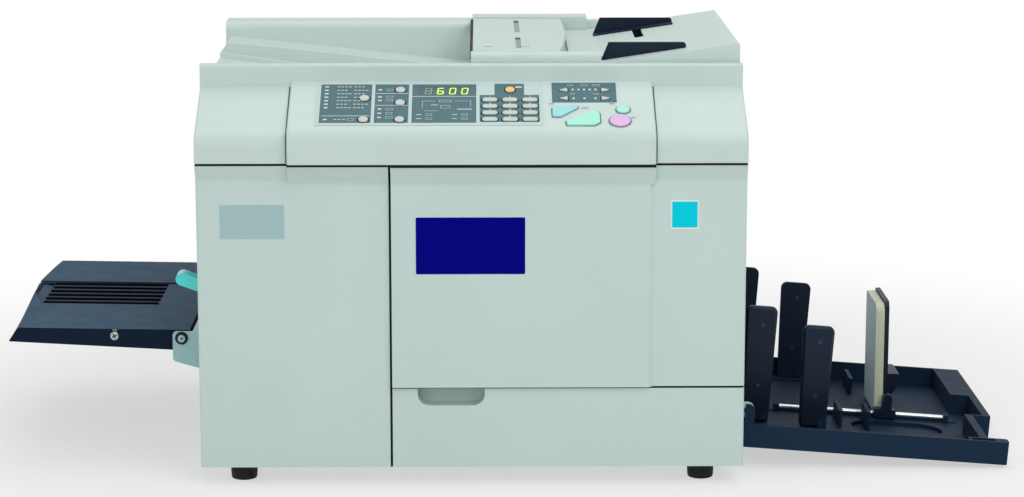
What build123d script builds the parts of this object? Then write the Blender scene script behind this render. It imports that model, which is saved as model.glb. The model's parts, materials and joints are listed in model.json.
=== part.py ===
from build123d import *
from math import acos, atan2, cos, degrees, pi, radians, sin, sqrt, tan
import os

# A compact digital duplicator: an office machine that scans an original, cuts a master and
# prints copies from a turning drum. All sizes are in millimetres.
# While it is drawn, X runs to the right from the middle of the main body, Y runs back from
# the front covers and Z is up from the floor. The finished pieces are then moved together, so
# that the origin is on the floor under the middle of the whole machine.

# Main body
body_width = 650.0
body_depth = 590.0
wall = 3.0
seam = 2.0
foot_height = 23.0
foot_top_radius = 17.5
foot_bottom_radius = 15.5
foot_front_y = 40.0
foot_rear_y = body_depth - 45.0
half_width = body_width / 2
foot_inset = 48.5
foot_spacing = body_width - 2 * foot_inset
side_front_y = 31.0
side_gap = 1.0
cover_depth = 28.0
over = 1.0

# Front covers
cover_top = 391.0
panel_top = 119.5
door_bottom = 122.0
left_cover_edge = -97.9
door_edge = -95.0
center_edge = 216.0
flank_chin_y = -10.0
center_chin_y = -20.0
flank_bend_z = 371.0
center_bend_z = 367.0
door_center_y = -6.0
door_step = 6.0
corner_radius = 3.5
flare_bend = 10.0
recess_left = -65.0
recess_right = 15.0
recess_floor = 98.6
recess_depth = 22.0
recess_corner = 14.0

# Door hinge
door_pin_x = half_width - 10.0
door_pin_y = 14.0
door_pin_radius = 3.0
door_knuckle_radius = 6.5
door_knuckle_length = 14.0
door_pin_levels = (150.0, 350.0)
door_bracket_height = 6.0
bracket_gap = 0.8
knuckle_gap = 0.3
web_width = 8.0
door_rim = 4.0
pin_arm_left = 6.0
pin_arm_right = 5.5
running_gap = 0.06

# Upper unit
upper_bottom = cover_top + seam
flank_foot_rise = 30.5
center_foot_rise = 37.5
flank_foot_z = upper_bottom + flank_foot_rise
center_foot_z = upper_bottom + center_foot_rise
deck_rise = 100.0
deck_z = upper_bottom + deck_rise
slope_top_y = 81.0
flank_slope_drop = 21.7
center_slope_drop = 15.0
flank_slope_top = deck_z - flank_slope_drop
center_slope_top = deck_z - center_slope_drop
lip_rise = 5.0
lip_top = deck_z + lip_rise
lip_back_y = 97.0
lip_round = 3.0
rear_housing_depth = 95.0
upper_back_y = body_depth - rear_housing_depth
upper_floor_z = upper_bottom + 44.0
casing_bend = 18.0
raise_round = 3.0
exit_edge = 4.0

# Document exit ramp, to the left of the feeder
ramp_high = deck_z - 3.0
ramp_low = deck_z - 36.0
ramp_left = 7.0 - half_width
ramp_back_y = upper_back_y - 50.0
ramp_width = 76.0
ramp_front_y = ramp_back_y - ramp_width
ledge_high = deck_z - 14.5
ledge_front_y = ramp_front_y - 17.0
ledge_angle = 8.0
floor_high = deck_z - 20.4
floor_angle = 7.0
housing_top = deck_z + 15.0
housing_round = 10.0

# Document feeder
feeder_right = 156.0
bar_front_y = lip_back_y + 2.0
bar_back_y = bar_front_y + 14.0
bar_top = deck_z + 17.0
bar_round = 6.0
back_bar_y = upper_back_y - 40.0
back_bar_top = deck_z + 20.0
back_bar_right = 151.0
rear_step_right = 168.0
rear_step_top = deck_z + 13.0
rear_step_y = upper_back_y - 25.0
feeder_pin_x = 10.0
feeder_pin_z = deck_z + 13.0
feeder_pin_radius = 2.0
lid_left = 1.0
lid_right_front = 107.0
lid_right_middle = 118.0
lid_right_back = 116.0
lid_top = deck_z + 18.0
lid_bottom = deck_z + 1.0
lid_round = 1.5
lid_gap = 1.0
lid_cheek_left = 7.0
lid_cheek_inset = 8.0
lid_boss_width = 12.0
lid_boss_drop = 4.0
lid_exit_z = deck_z + 5.5
lid_lip_z = lid_top - 8.0
lid_slot_left = 54.0
lid_slot_right = 60.5
lid_slot_depth = 1.2
lid_slot_spans = ((135.0, 247.0), (300.0, 433.0))
glass_left = 30.0
glass_right = 60.0
glass_front_y = bar_back_y + 17.0
glass_back_y = back_bar_y - 15.0
glass_gap = 0.2
glass_ledge = 3.0
feeder_roller_radius = 5.0
feeder_shaft_radius = 2.0
feeder_shaft_reach = 7.0
roller_lift = 0.4

# Original tray and its guides
tray_left = 119.5
tray_bend_x = 157.0
tray_right = half_width - 2.0
tray_low_z = deck_z + 3.0
tray_high_z = deck_z + 28.0
tray_front_y = lip_back_y + 3.0
tray_back_y = rear_step_y - 2.0
tray_gap = 0.5
tray_round = 3.0
guide_front_y = tray_front_y + 33.0
guide_back_y = tray_back_y - 69.0
guide_thickness = 3.0
guide_left = 157.0
guide_right = 260.0
guide_slant = 9.0
guide_tip = 2.5
guide_top = tray_high_z - 2.7
guide_lift = 0.4
flange_depth = 19.0
flange_thickness = 1.5
guide_travel = 85.0
stem_x = 213.0
stem_width = 10.0
stem_lift = 3.0
stem_foot = 5.0
stem_foot_height = 2.0
slot_gap = 1.0
slot_floor = 1.0

# Control panel, measured up the slope from its foot
overlay_left = -184.5
overlay_right = 84.5
overlay_low = 15.6
overlay_high = 109.0
overlay_thickness = 0.8
side_block_left = 95.6
side_block_right = 172.0
side_block_low = 64.8
side_block_high = 106.4
window_left = -60.8
window_right = -2.4
window_low = 80.0
window_high = 97.5
window_thickness = 2.0
key_pressed_height = 0.6
key_depth = 4.5
key_gap = 0.35
key_travel = 1.2
select_radius = 5.9
select_places = ((-127.0, 73.5), (-127.0, 27.9), (-84.5, 91.4), (-84.5, 63.9), (-84.5, 27.9))
number_columns = (21.7, 45.5, 69.2)
number_rows = (27.9, 41.8, 55.7, 69.6)
number_width = 18.4
number_height = 8.0
arrow_rows = (72.3, 90.4)
arrow_left_x = 108.4
arrow_right_x = 159.9
arrow_length = 11.5
arrow_width = 8.0
arrow_round = 0.9
key_chamfer = 0.6
wake_place = (45.7, 91.4)
wake_radius = 5.8
master_outline = ((95.2, 33.3), (95.2, 51.8), (102.3, 56.6), (124.0, 56.6), (126.2, 51.8), (105.3, 33.3))
start_outline = (
    (112.0, 15.0),
    (111.0, 24.5),
    (140.4, 45.4),
    (147.6, 45.4),
    (151.0, 40.0),
    (151.0, 21.0),
    (144.0, 15.0),
)
outline_round = 2.0
test_place = (178.7, 48.6)
test_radius = 8.0
stop_place = (174.3, 25.1)
stop_radius = 12.3

# Rear housing and the hinge of the upper unit
housing_front_y = upper_back_y + 2.0
housing_lid_z = upper_bottom + 69.0
tilt_y = upper_back_y + 36.0
tilt_z = upper_bottom + 78.0
tilt_pin_radius = 4.0
tilt_arm_radius = 7.0
tilt_post_x = half_width - 85.0
tilt_post_width = 20.0
tilt_arm_width = 10.0
tilt_gap = 1.0
vent_left = -230.0
vent_right = -90.0
vent_low = 220.0
vent_count = 8
vent_pitch = 9.0
vent_height = 4.0

# Frames inside
plate = 2.0
front_frame_y = 34.0
rear_bay_depth = 60.0
rear_frame_y = body_depth - rear_bay_depth
frame_left = 25.0 - half_width
frame_right = half_width - 5.0
frame_top = cover_top - 11.0
pan_flange = 12.0

# Printing drum and what turns with it
drum_x = 20.0
drum_z = 250.0
drum_radius = 75.0
screen_thickness = 1.5
drum_front_y = 120.0
drum_back_y = 450.0
flange_width = 8.0
drum_mouth_radius = 46.0
drum_door_radius = 92.0
axle_radius = 10.0
gear_module = 2.5
gear_teeth = 56
pinion_teeth = 14
gear_front_y = 458.0
gear_width = 12.0
gear_backlash = 0.5
pinion_angle = -40.0
motor_shaft_radius = 4.0
motor_radius = 30.0
motor_length = 44.0
cartridge_radius = 38.0
cartridge_front_y = 125.0
cartridge_back_y = 335.0
press_radius = 25.0
press_gap = 0.5
press_shaft_radius = 8.0
roll_x = -165.0
roll_z = 333.0
roll_radius = 36.0
roll_shaft_radius = 6.0
roll_front_y = 125.0
roll_back_y = 435.0
head_x = -112.0
head_z = 318.0
pickup_x = 40.0 - half_width
pickup_z = 255.0
pickup_radius = 18.0
pickup_shaft_radius = 5.0
pickup_front_y = 260.0
pickup_back_y = 350.0
conveyor_left = 130.0
conveyor_right = half_width - 25.0
conveyor_front_y = 130.0
conveyor_back_y = 470.0
conveyor_top = 142.0
conveyor_thickness = 20.0
conveyor_belts = 5
belt_width = 18.0
belt_inset = 4.0
belt_height = 1.2
conveyor_shaft_inset = 18.0
conveyor_shaft_lift = 8.0
conveyor_shaft_radius = 4.0
head_width = 6.0
head_height = 30.0
head_fins = 4
head_fin_reach = 10.0
head_fin_pitch = 7.0
head_fin_thickness = 3.0
board_standoff = 30.0
board_y = rear_frame_y + board_standoff
board_thickness = 1.6
board_left = -250.0
board_right = -60.0
board_low = 120.0
board_high = 330.0
post_inset = 6.0
post_radius = 3.0
board_pieces = (
    (-220.0, 290.0, 40.0, 24.0, 12.0),
    (-150.0, 270.0, 28.0, 28.0, 4.0),
    (-100.0, 160.0, 34.0, 50.0, 22.0),
    (-215.0, 170.0, 60.0, 36.0, 18.0),
)

# Feed side
feed_mouth_front = 79.0
feed_mouth_back = 531.0
feed_mouth_low = 112.0
feed_mouth_high = 335.0
feed_front_y = 97.0
feed_back_y = 517.0
feed_end_x = -half_width - 20.0
feed_length = 220.7
feed_tip_x = feed_end_x - feed_length
feed_bow_x = feed_tip_x - 5.3
feed_back_tip_x = feed_tip_x + 5.7
feed_top_end = 170.2
feed_top_tip = 173.8
feed_low_end = 144.2
feed_low_tip = 157.3
feed_bevel = 12.0
feed_bow_shift = 40.0
feed_tip_solid = 14.0
feed_recess_front = 241.0
feed_recess_back = 379.0
feed_recess_depth = 1.5
feed_slab = 8.5
feed_lead_tip = (feed_tip_x - 1.8, 318.0)
feed_lead_inset = 6.0
feed_lead_depth = 6.0
feed_slot_left = feed_tip_x + 17.7
feed_slot_right = feed_end_x - 55.0
feed_slot_count = 6
feed_slot_share = 0.62
feed_slot_depth = 6.5
feed_pivot_x = feed_end_x - 9.0
feed_pivot_z = 162.5
feed_pin_radius = 4.0
bracket_y = 86.0
bracket_back_y = rear_frame_y - 4.5
bracket_thickness = 2.5
bracket_left = feed_pivot_x - 11.0
bracket_right = frame_left
bracket_top = 170.7
bracket_low_left = 134.0
bracket_low_right = 115.5
bracket_round = 5.0
paper_plate_drop = 0.7
paper_plate_left = feed_end_x + 4.0
paper_plate_right = paper_plate_left + 79.0
washer_radius = 7.0
washer_thickness = 1.5
screw_radius = 4.4
screw_height = 4.0
lever_pivot_x = 13.0 - half_width
lever_pivot_z = 230.0
lever_reach = 46.0
lever_height = 15.0
lever_angle = 20.0
lever_front_y = 48.0
lever_back_y = 72.0
lever_pin_radius = 3.0
lever_slot_gap = 2.0
lever_slot_drop = 12.0
lever_slot_rise = 18.0
lug_offset = 5.5
lug_width = 16.0
side_lip = 10.0

# Exit tray, drawn flat in a frame that slopes down to the right
exit_slope = 4.3
exit_x = half_width + 6.0
exit_z = 28.0
exit_length = 326.0
exit_front_y = 70.0
exit_back_y = 454.0
exit_rim = 28.5
exit_wall = 4.0
exit_floor = 3.5
exit_mouth_front = 84.0
exit_mouth_back = 440.0
exit_mouth_low = 58.0
exit_mouth_high = 200.0
strip_back_y = 88.0
strip_block = 277.0
slot_length = 29.0
arm_left = 292.0
arm_right = 302.0
notch_back_y = 200.0
middle_right = 325.0
corner_block_left = 291.0
corner_block_front = 307.0
rim_width = 10.0
trough_left = 180.0
trough_right = 267.0
trough_front_y = 177.0
trough_back_y = 236.0
trough_depth = 4.5
band_front_y = 251.5
band_back_y = 275.0
band_height = 5.0
rail_y = 257.0
rail_radius = 3.5
rail_left = 62.0
rail_right = 275.0
rib_places = (131.0, 167.0)
rib_width = 5.0
rib_front_y = 188.0
rib_back_y = 244.0
rib_top = 25.0
back_rib_front_y = 372.0
back_rib_back_y = 425.0
rail_block_length = 6.0
rail_block_width = 12.8
rail_block_height = 8.0
trough_wall = 2.0
exit_sill = 8.0
slot_depth = 6.0
cheek_radius = 8.0
cheek_gap = 0.5
exit_pivot_u = 2.0
exit_pivot_w = 45.0
exit_pin_radius = 4.0
cheek_thickness = 5.0
ear_thickness = 6.0
ear_radius = 9.0
ear_gap = 1.0
cheek_inset = 1.0

# Fences: each has a base that slides across the tray and two fins that fold
fence_base_low = 3.8
fence_base_top = 5.6
fence_left = 4.0
fence_right = 120.0
fin_thickness = 8.0
fin_step = 9.5
front_fin_y = 177.0
back_fin_y = 428.0
inner_fin_right = 40.7
outer_fin_right = 113.0
fin_foot_width = 34.0
fin_top_width = 40.0
fin_low = 6.0
inner_fin_top = 154.0
outer_fin_top = 136.0
fin_pivot_inset = 6.0
fin_pivot_w = 14.0
fin_pin_radius = 3.0
fin_corner = 8.0
fin_chamfer = 3.0
fin_ear = 3.2
fin_ear_radius = 6.0
fin_heel = 5.0
fence_gap = 0.4
fin_ear_gap = 0.3

# End stop
stop_pivot_x = exit_x + 202.0
stop_pivot_w = 30.0
stop_pin_radius = 2.5
stop_front_y = 262.0
stop_back_y = 360.0
stop_plate_back = 1.4
stop_plate_thickness = 5.4
foam_thickness = 11.0
stop_low_z = 20.0
stop_top_z = 168.0
foam_top_z = 164.5
stop_corner = 9.0
stop_barrel_radius = 3.9
wing_reach = 23.0
wing_high = 21.0
wing_waist = 9.0
wing_toe = 9.0
wing_low = -11.0
wing_round = 4.0
wing_front_y = 300.0
wing_back_y = 356.0
carriage_gap = 0.3
carriage_height = 11.0
carriage_left = 16.0
carriage_right = 12.0
carriage_half = 6.0
carriage_reach = 10.0
carriage_hold = 4.5
carriage_ear = 1.5

# Power inlet and switch
inlet_x = half_width - 71.0
inlet_z = 60.0
inlet_width = 27.0
inlet_height = 19.5
inlet_depth = 22.0
inlet_rim = 3.0
inlet_rim_thickness = 2.0
inlet_gap = 0.5
socket_half_width = 12.0
socket_half_height = 8.0
socket_depth = 16.0
blade_places = ((-7.0, -2.0), (7.0, -2.0), (0.0, 3.0))
blade_half_width = 1.0
blade_half_height = 3.0
switch_y = body_depth - 90.0
switch_z = 60.0
switch_width = 21.0
switch_height = 15.0
switch_gap = 1.0
switch_depth = 8.0
rocker_high = 2.5
rocker_low = 0.5


def block(x0, x1, y0, y1, z0, z1):
    """A box between two corners."""
    return Pos((x0 + x1) / 2, (y0 + y1) / 2, (z0 + z1) / 2) * Box(x1 - x0, y1 - y0, z1 - z0)


def along_x(points, x0, x1):
    """A solid with an outline of (y, z) points, run along X."""
    face = make_face(Polyline(*[(x0, y, z) for y, z in points], close=True))
    return extrude(face, amount=x1 - x0, dir=(1, 0, 0))


def along_y(points, y0, y1):
    """A solid with an outline of (x, z) points, run along Y."""
    face = make_face(Polyline(*[(x, y0, z) for x, z in points], close=True))
    return extrude(face, amount=y1 - y0, dir=(0, 1, 0))


def along_z(points, z0, z1):
    """A solid with an outline of (x, y) points, run up Z."""
    face = make_face(Polyline(*[(x, y, z0) for x, y in points], close=True))
    return extrude(face, amount=z1 - z0, dir=(0, 0, 1))


def bent_x(corners, x0, x1):
    """A solid run along X, whose outline has (y, z, radius) corners. A radius of nought is sharp."""
    points = [(x0, y, z) for y, z, _ in corners]
    outline = FilletPolyline(*points, radius=[radius for _, _, radius in corners], close=True)
    return extrude(make_face(outline), amount=x1 - x0, dir=(1, 0, 0))


def rod_y(x, z, radius, y0, y1):
    """A round bar along Y."""
    return Pos(x, (y0 + y1) / 2, z) * Rot(90, 0, 0) * Cylinder(radius, y1 - y0)


def rod_x(y, z, radius, x0, x1):
    """A round bar along X."""
    return Pos((x0 + x1) / 2, y, z) * Rot(0, 90, 0) * Cylinder(radius, x1 - x0)


def flared(face_y, chin_y, low, inset, bend_z, x0, x1):
    """A front cover's solid along X, with a top that flares out to meet the upper unit."""
    slope = (face_y - chin_y) / (cover_top - bend_z)
    top = cover_top - inset
    corners = [
        (face_y + inset, low + inset, 0),
        (face_y + inset, bend_z, flare_bend + inset),
        (face_y + inset - (top - bend_z) * slope, top, 0),
        (cover_depth + inset, top, 0),
        (cover_depth + inset, low + inset, 0),
    ]
    return bent_x(corners, x0, x1)


# Base, feet and frames


def make_base_pan():
    x = half_width - wall
    y0 = side_front_y
    y1 = body_depth - wall
    floor = foot_height + plate
    pan = block(-x, x, y0, y1, foot_height, floor + pan_flange)
    return pan - block(-x + plate, x - plate, y0 + plate, y1 - plate, floor, floor + 2 * pan_flange)


def make_rubber_feet():
    foot = Cone(foot_bottom_radius, foot_top_radius, foot_height)
    places = [(x * foot_spacing / 2, y) for x in (-1, 1) for y in (foot_front_y, foot_rear_y)]
    return [Pos(x, y, foot_height / 2) * foot for x, y in places]


def pinion_place():
    distance = gear_module * (gear_teeth + pinion_teeth) / 2
    angle = radians(pinion_angle)
    return drum_x + distance * cos(angle), drum_z + distance * sin(angle)


def press_place():
    return drum_x, drum_z - drum_radius - press_gap - press_radius


def make_inner_frames():
    floor = foot_height + plate
    front = block(frame_left, frame_right, front_frame_y, front_frame_y + plate, floor, frame_top)
    rear = block(frame_left, -frame_left, rear_frame_y, rear_frame_y + plate, floor, frame_top)
    front -= rod_y(drum_x, drum_z, drum_door_radius, front_frame_y - 1, front_frame_y + plate + 1)
    motor_x, motor_z = pinion_place()
    rear -= rod_y(motor_x, motor_z, 2 * motor_shaft_radius, rear_frame_y - 1, rear_frame_y + plate + 1)
    shafts = (
        (*press_place(), press_shaft_radius),
        (roll_x, roll_z, roll_shaft_radius),
        (pickup_x, pickup_z, pickup_shaft_radius),
    )
    for x, z, radius in shafts:
        hole = rod_y(x, z, radius + running_gap, front_frame_y - 1, rear_frame_y + plate + 1)
        front -= hole
        rear -= hole
    for side in (-1, 1):
        x0 = side * tilt_post_x - tilt_post_width / 2
        x1 = x0 + tilt_post_width
        depth = tilt_post_width / 2
        rear += block(x0, x1, tilt_y - depth, tilt_y + depth, frame_top - depth, tilt_z + depth)
        inner = side * (tilt_post_x - tilt_post_width / 2)
        end = inner - side * (2 * tilt_gap + tilt_arm_width)
        rear += rod_x(tilt_y, tilt_z, tilt_pin_radius, min(inner, end), max(inner, end))
    return [front, rear]


# Front covers


def make_left_front_cover():
    flank = (0, flank_chin_y, foot_height)
    center = (0, center_chin_y, foot_height)
    cover = flared(*flank, 0, flank_bend_z, -half_width, left_cover_edge)
    cover += flared(*center, 0, center_bend_z, -center_edge, left_cover_edge)
    cover = fillet(cover.edges().filter_by(Axis.Z).sort_by(Axis.X)[:2].sort_by(Axis.Y)[0], corner_radius)
    cover -= flared(*flank, wall, flank_bend_z, -half_width + wall, left_cover_edge - wall)
    cover -= flared(*center, wall, center_bend_z, -center_edge + wall, left_cover_edge - wall)
    return cover


def make_lower_front_panel():
    cover = block(door_edge, half_width, 0, cover_depth, foot_height, panel_top)
    inside = block(
        door_edge + wall, half_width - wall, wall, cover_depth + wall, foot_height + wall, panel_top - wall
    )
    cover = fillet(cover.edges().filter_by(Axis.Z).sort_by(Axis.X)[-2:].sort_by(Axis.Y)[0], corner_radius)
    cover -= inside

    def scoop(grow, top, y0, y1):
        x0 = recess_left - grow
        x1 = recess_right + grow
        z0 = recess_floor - grow
        shape = block(x0, x1, y0, y1, z0, top)
        low = shape.edges().filter_by(Axis.Y).sort_by(Axis.Z)[:2]
        return fillet(low, recess_corner + grow)

    cover += scoop(wall, panel_top, wall / 2, recess_depth + wall)
    return cover - scoop(0, panel_top + wall, -wall, recess_depth)


def make_front_door():
    step_x = center_edge - door_step
    center = (door_center_y, center_chin_y, door_bottom)
    flank = (0, flank_chin_y, door_bottom)
    back = cover_depth - door_rim
    door = flared(*flank, 0, flank_bend_z, door_edge, half_width)
    door += flared(*center, 0, center_bend_z, door_edge, step_x)
    soft = [(step_x, door_center_y), (center_edge, 0), (center_edge, wall), (step_x, wall)]
    door += along_z(soft, door_bottom, center_bend_z)
    upper = [(step_x, center_chin_y), (center_edge, center_chin_y), (center_edge, wall), (step_x, wall)]
    edge_strip = flared(*center, 0, center_bend_z, step_x, center_edge)
    door += along_z(upper, center_bend_z, cover_top) & edge_strip
    right = door.edges().filter_by(Axis.Z).sort_by(Axis.X)[-2:].sort_by(Axis.Y)[0]
    door = fillet(right, corner_radius)
    door -= flared(*center, wall, center_bend_z, door_edge + wall, step_x - wall)
    door -= flared(*flank, wall, flank_bend_z, door_edge + wall, half_width - wall)
    right = half_width + over
    door -= block(-right, right, back, 2 * cover_depth, door_bottom - over, cover_top + over)
    # A notch for each bracket, and a knuckle that turns on its pin
    for level in door_pin_levels:
        low = level - door_bracket_height - bracket_gap
        door -= block(half_width - 2 * wall, right, wall, back + over, low, level + bracket_gap)
    for level in door_pin_levels:
        z0 = level + knuckle_gap
        z1 = level + door_knuckle_length - knuckle_gap
        middle = Pos(door_pin_x, door_pin_y, (z0 + z1) / 2)
        knuckle = middle * Cylinder(door_knuckle_radius, z1 - z0)
        x0 = door_pin_x - web_width / 2
        web = block(x0, x0 + web_width, wall / 2, door_pin_y, z0, z1)
        bore = middle * Cylinder(door_pin_radius + running_gap, z1 - z0 + 2 * over)
        door += (knuckle + web) - bore
        door -= bore
    return door


def make_door_hinge_pins():
    pins = []
    for level in door_pin_levels:
        z0 = level - door_bracket_height
        x0, x1 = door_pin_x - pin_arm_left, door_pin_x + pin_arm_right
        arm = block(x0, x1, door_pin_y - door_pin_radius - over, front_frame_y, z0, level)
        pin = Pos(door_pin_x, door_pin_y, level + door_knuckle_length / 2)
        pins.append(arm + pin * Cylinder(door_pin_radius, door_knuckle_length))
    return pins


# Side and rear covers


def side_cover(x0, x1):
    """A side cover's plain sheet between the front covers and the rear one."""
    return block(x0, x1, side_front_y, body_depth - wall - side_gap, foot_height + plate, cover_top)


def side_lip_strip(x0):
    """The lip that stiffens a side cover's top edge."""
    x1 = x0 + side_lip
    return side_cover(x0, x1) & block(x0, x1, 0, body_depth, cover_top - wall, cover_top)


def make_left_side_cover():
    x0 = -half_width
    x1 = x0 + wall
    side = side_cover(x0, x1)
    side -= block(x0 - over, x1 + over, feed_mouth_front, feed_mouth_back, feed_mouth_low, feed_mouth_high)
    y0, y1 = lever_front_y - lever_slot_gap, lever_back_y + lever_slot_gap
    z0, z1 = lever_pivot_z - lever_slot_drop, lever_pivot_z + lever_slot_rise
    side -= block(x0 - over, x1 + over, y0, y1, z0, z1)
    side += side_lip_strip(x1)
    lug_front = lever_front_y - lug_offset
    half = lug_width / 2
    for y0 in (lug_front, lever_back_y + lug_offset - wall):
        side += block(x1, lever_pivot_x + half, y0, y0 + wall, lever_pivot_z - half, lever_pivot_z + half)
    lug_back = lever_back_y + lug_offset
    return side + rod_y(lever_pivot_x, lever_pivot_z, lever_pin_radius, lug_front, lug_back)


def exit_frame():
    """The exit tray's own frame: u down the slope, y back and w up."""
    a = radians(exit_slope)
    return Plane(origin=(exit_x, 0, exit_z), x_dir=(cos(a), 0, -sin(a)), z_dir=(sin(a), 0, cos(a)))


def exit_point(u, w):
    """Where a point of the exit tray's frame lies, as (x, z)."""
    a = radians(exit_slope)
    return exit_x + u * cos(a) + w * sin(a), exit_z - u * sin(a) + w * cos(a)


def exit_ear_y():
    """The front edges of the two ears that carry the exit tray."""
    front = exit_front_y + cheek_inset + cheek_thickness + ear_gap
    back = exit_back_y - cheek_inset - cheek_thickness - ear_gap - ear_thickness
    return front, back


def make_right_side_cover():
    x1 = half_width
    x0 = x1 - wall
    side = side_cover(x0, x1)
    side -= block(x0 - over, x1 + over, exit_mouth_front, exit_mouth_back, exit_mouth_low, exit_mouth_high)
    side += side_lip_strip(x0 - side_lip)
    y0 = switch_y - switch_width / 2
    z0 = switch_z - switch_height / 2
    side -= block(x0 - over, x1 + over, y0, y0 + switch_width, z0, z0 + switch_height)
    pin_x, pin_z = exit_point(exit_pivot_u, exit_pivot_w)
    for y in exit_ear_y():
        ear = rod_y(pin_x, pin_z, ear_radius, y, y + ear_thickness)
        ear += block(x1 - wall / 2, pin_x, y, y + ear_thickness, pin_z - ear_radius, pin_z + ear_radius)
        ear -= rod_y(pin_x, pin_z, exit_pin_radius + running_gap, y - over, y + ear_thickness + over)
        side += ear
    return side


def make_rear_cover():
    y1 = body_depth
    y0 = y1 - wall
    back = block(-half_width, half_width, y0, y1, foot_height, housing_lid_z)
    top = block(-half_width, half_width, housing_front_y, y1, upper_bottom, housing_lid_z)
    hollow = block(
        -half_width + wall, half_width - wall, housing_front_y + wall, y0, cover_top, housing_lid_z - wall
    )
    cover = back + (top - hollow)
    half = tilt_post_width / 2 + tilt_gap
    for side in (-1, 1):
        x = side * tilt_post_x
        cover -= block(x - half, x + half, tilt_y - half, tilt_y + half, cover_top, housing_lid_z + over)
    cover -= around_inlet(inlet_gap, y0 - over, y1 + over)
    for row in range(vent_count):
        z = vent_low + row * vent_pitch
        cover -= block(vent_left, vent_right, y0 - over, y1 + over, z, z + vent_height)
    return cover


def around_inlet(grow, y0, y1):
    """A block of the power inlet's size, and so much larger on each side."""
    half_x = inlet_width / 2 + grow
    half_z = inlet_height / 2 + grow
    return block(inlet_x - half_x, inlet_x + half_x, y0, y1, inlet_z - half_z, inlet_z + half_z)


def make_power_inlet():
    y1 = body_depth
    inlet = around_inlet(0, y1 - inlet_depth, y1)
    inlet += around_inlet(inlet_rim, y1, y1 + inlet_rim_thickness)
    x0, x1 = inlet_x - socket_half_width, inlet_x + socket_half_width
    z0, z1 = inlet_z - socket_half_height, inlet_z + socket_half_height
    inlet -= block(x0, x1, y1 - socket_depth, y1 + inlet_rim_thickness + over, z0, z1)
    for x, z in blade_places:
        x0, x1 = inlet_x + x - blade_half_width, inlet_x + x + blade_half_width
        z0, z1 = inlet_z + z - blade_half_height, inlet_z + z + blade_half_height
        inlet += block(x0, x1, y1 - socket_depth - over, y1 - inlet_rim_thickness, z0, z1)
    return inlet


def make_power_switch():
    y0 = switch_y - switch_width / 2 + switch_gap
    y1 = switch_y + switch_width / 2 - switch_gap
    z0 = switch_z - switch_height / 2 + switch_gap
    z1 = switch_z + switch_height / 2 - switch_gap
    x = half_width
    low = x - switch_depth
    rocker = [(y0, low), (y0, x + rocker_high), (switch_y, x), (y1, x + rocker_low), (y1, low)]
    face = make_face(Polyline(*[(px, py, z0) for py, px in rocker], close=True))
    return extrude(face, amount=z1 - z0, dir=(0, 0, 1))


# Machinery inside


def gear(teeth, y0, y1, x, z, start):
    """A spur gear along Y, with involute flanks and a little backlash."""
    pitch = gear_module * teeth / 2
    base = pitch * cos(radians(20))
    tip = pitch + gear_module
    root = pitch - 1.25 * gear_module

    def half_angle(radius):
        turn = tan(radians(20)) - radians(20)
        if radius <= base:
            flank = 0.0
        else:
            slope = acos(base / radius)
            flank = tan(slope) - slope
        return pi / (2 * teeth) - gear_backlash / (2 * pitch) + turn - flank

    levels = [root, max(base, root) * 0.5 + pitch * 0.5, pitch, (pitch + tip) / 2, tip]
    points = []
    for tooth in range(teeth):
        middle = start + 2 * pi * tooth / teeth
        flank = [(r, half_angle(r)) for r in levels]
        points += [(r, middle - a) for r, a in flank] + [(r, middle + a) for r, a in reversed(flank)]
    outline = [(x + r * cos(a), z + r * sin(a)) for r, a in points]
    return along_y(outline, y0, y1)


def make_drum_screen():
    outer = rod_y(drum_x, drum_z, drum_radius, drum_front_y, drum_back_y)
    return outer - rod_y(drum_x, drum_z, drum_radius - screen_thickness, drum_front_y - 1, drum_back_y + 1)


def make_drum_flanges():
    front = rod_y(drum_x, drum_z, drum_radius, drum_front_y - flange_width, drum_front_y)
    front -= rod_y(drum_x, drum_z, drum_mouth_radius, drum_front_y - flange_width - 1, drum_front_y + 1)
    back = rod_y(drum_x, drum_z, drum_radius, drum_back_y, gear_front_y - 2)
    back += rod_y(drum_x, drum_z, 2 * axle_radius, drum_back_y, gear_front_y + gear_width)
    back += gear(gear_teeth, gear_front_y, gear_front_y + gear_width, drum_x, drum_z, 0.0)
    bore = rod_y(drum_x, drum_z, axle_radius + running_gap, drum_back_y - 1, gear_front_y + gear_width + 1)
    return [front, back - bore]


def make_ink_cartridge():
    body = rod_y(drum_x, drum_z, cartridge_radius, cartridge_front_y, cartridge_back_y)
    return body + rod_y(drum_x, drum_z, axle_radius, cartridge_back_y, rear_frame_y)


def pinion_start():
    """The pinion's turn that puts a gap of its own over a tooth of the drum gear."""
    toward = radians(pinion_angle)
    pitch_angle = 2 * pi / gear_teeth
    offset = toward % pitch_angle
    return toward + pi - pi / pinion_teeth + offset * gear_teeth / pinion_teeth


def make_motor_pinion():
    x, z = pinion_place()
    shaft = rod_y(x, z, motor_shaft_radius, gear_front_y - 4, rear_frame_y + plate + motor_length / 2)
    return shaft + gear(pinion_teeth, gear_front_y, gear_front_y + gear_width, x, z, pinion_start())


def make_main_motor():
    x, z = pinion_place()
    y0 = rear_frame_y + plate
    half = motor_radius + 5
    motor = block(x - half, x + half, y0, y0 + 2, z - half, z + half)
    motor += rod_y(x, z, motor_radius, y0, y0 + motor_length)
    return motor - rod_y(x, z, motor_shaft_radius + running_gap, y0 - 1, y0 + motor_length / 2 + 1)


def make_press_roller():
    x, z = press_place()
    roller = rod_y(x, z, press_radius, drum_front_y, drum_back_y)
    return roller + rod_y(x, z, press_shaft_radius, front_frame_y, rear_frame_y + plate)


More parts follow.
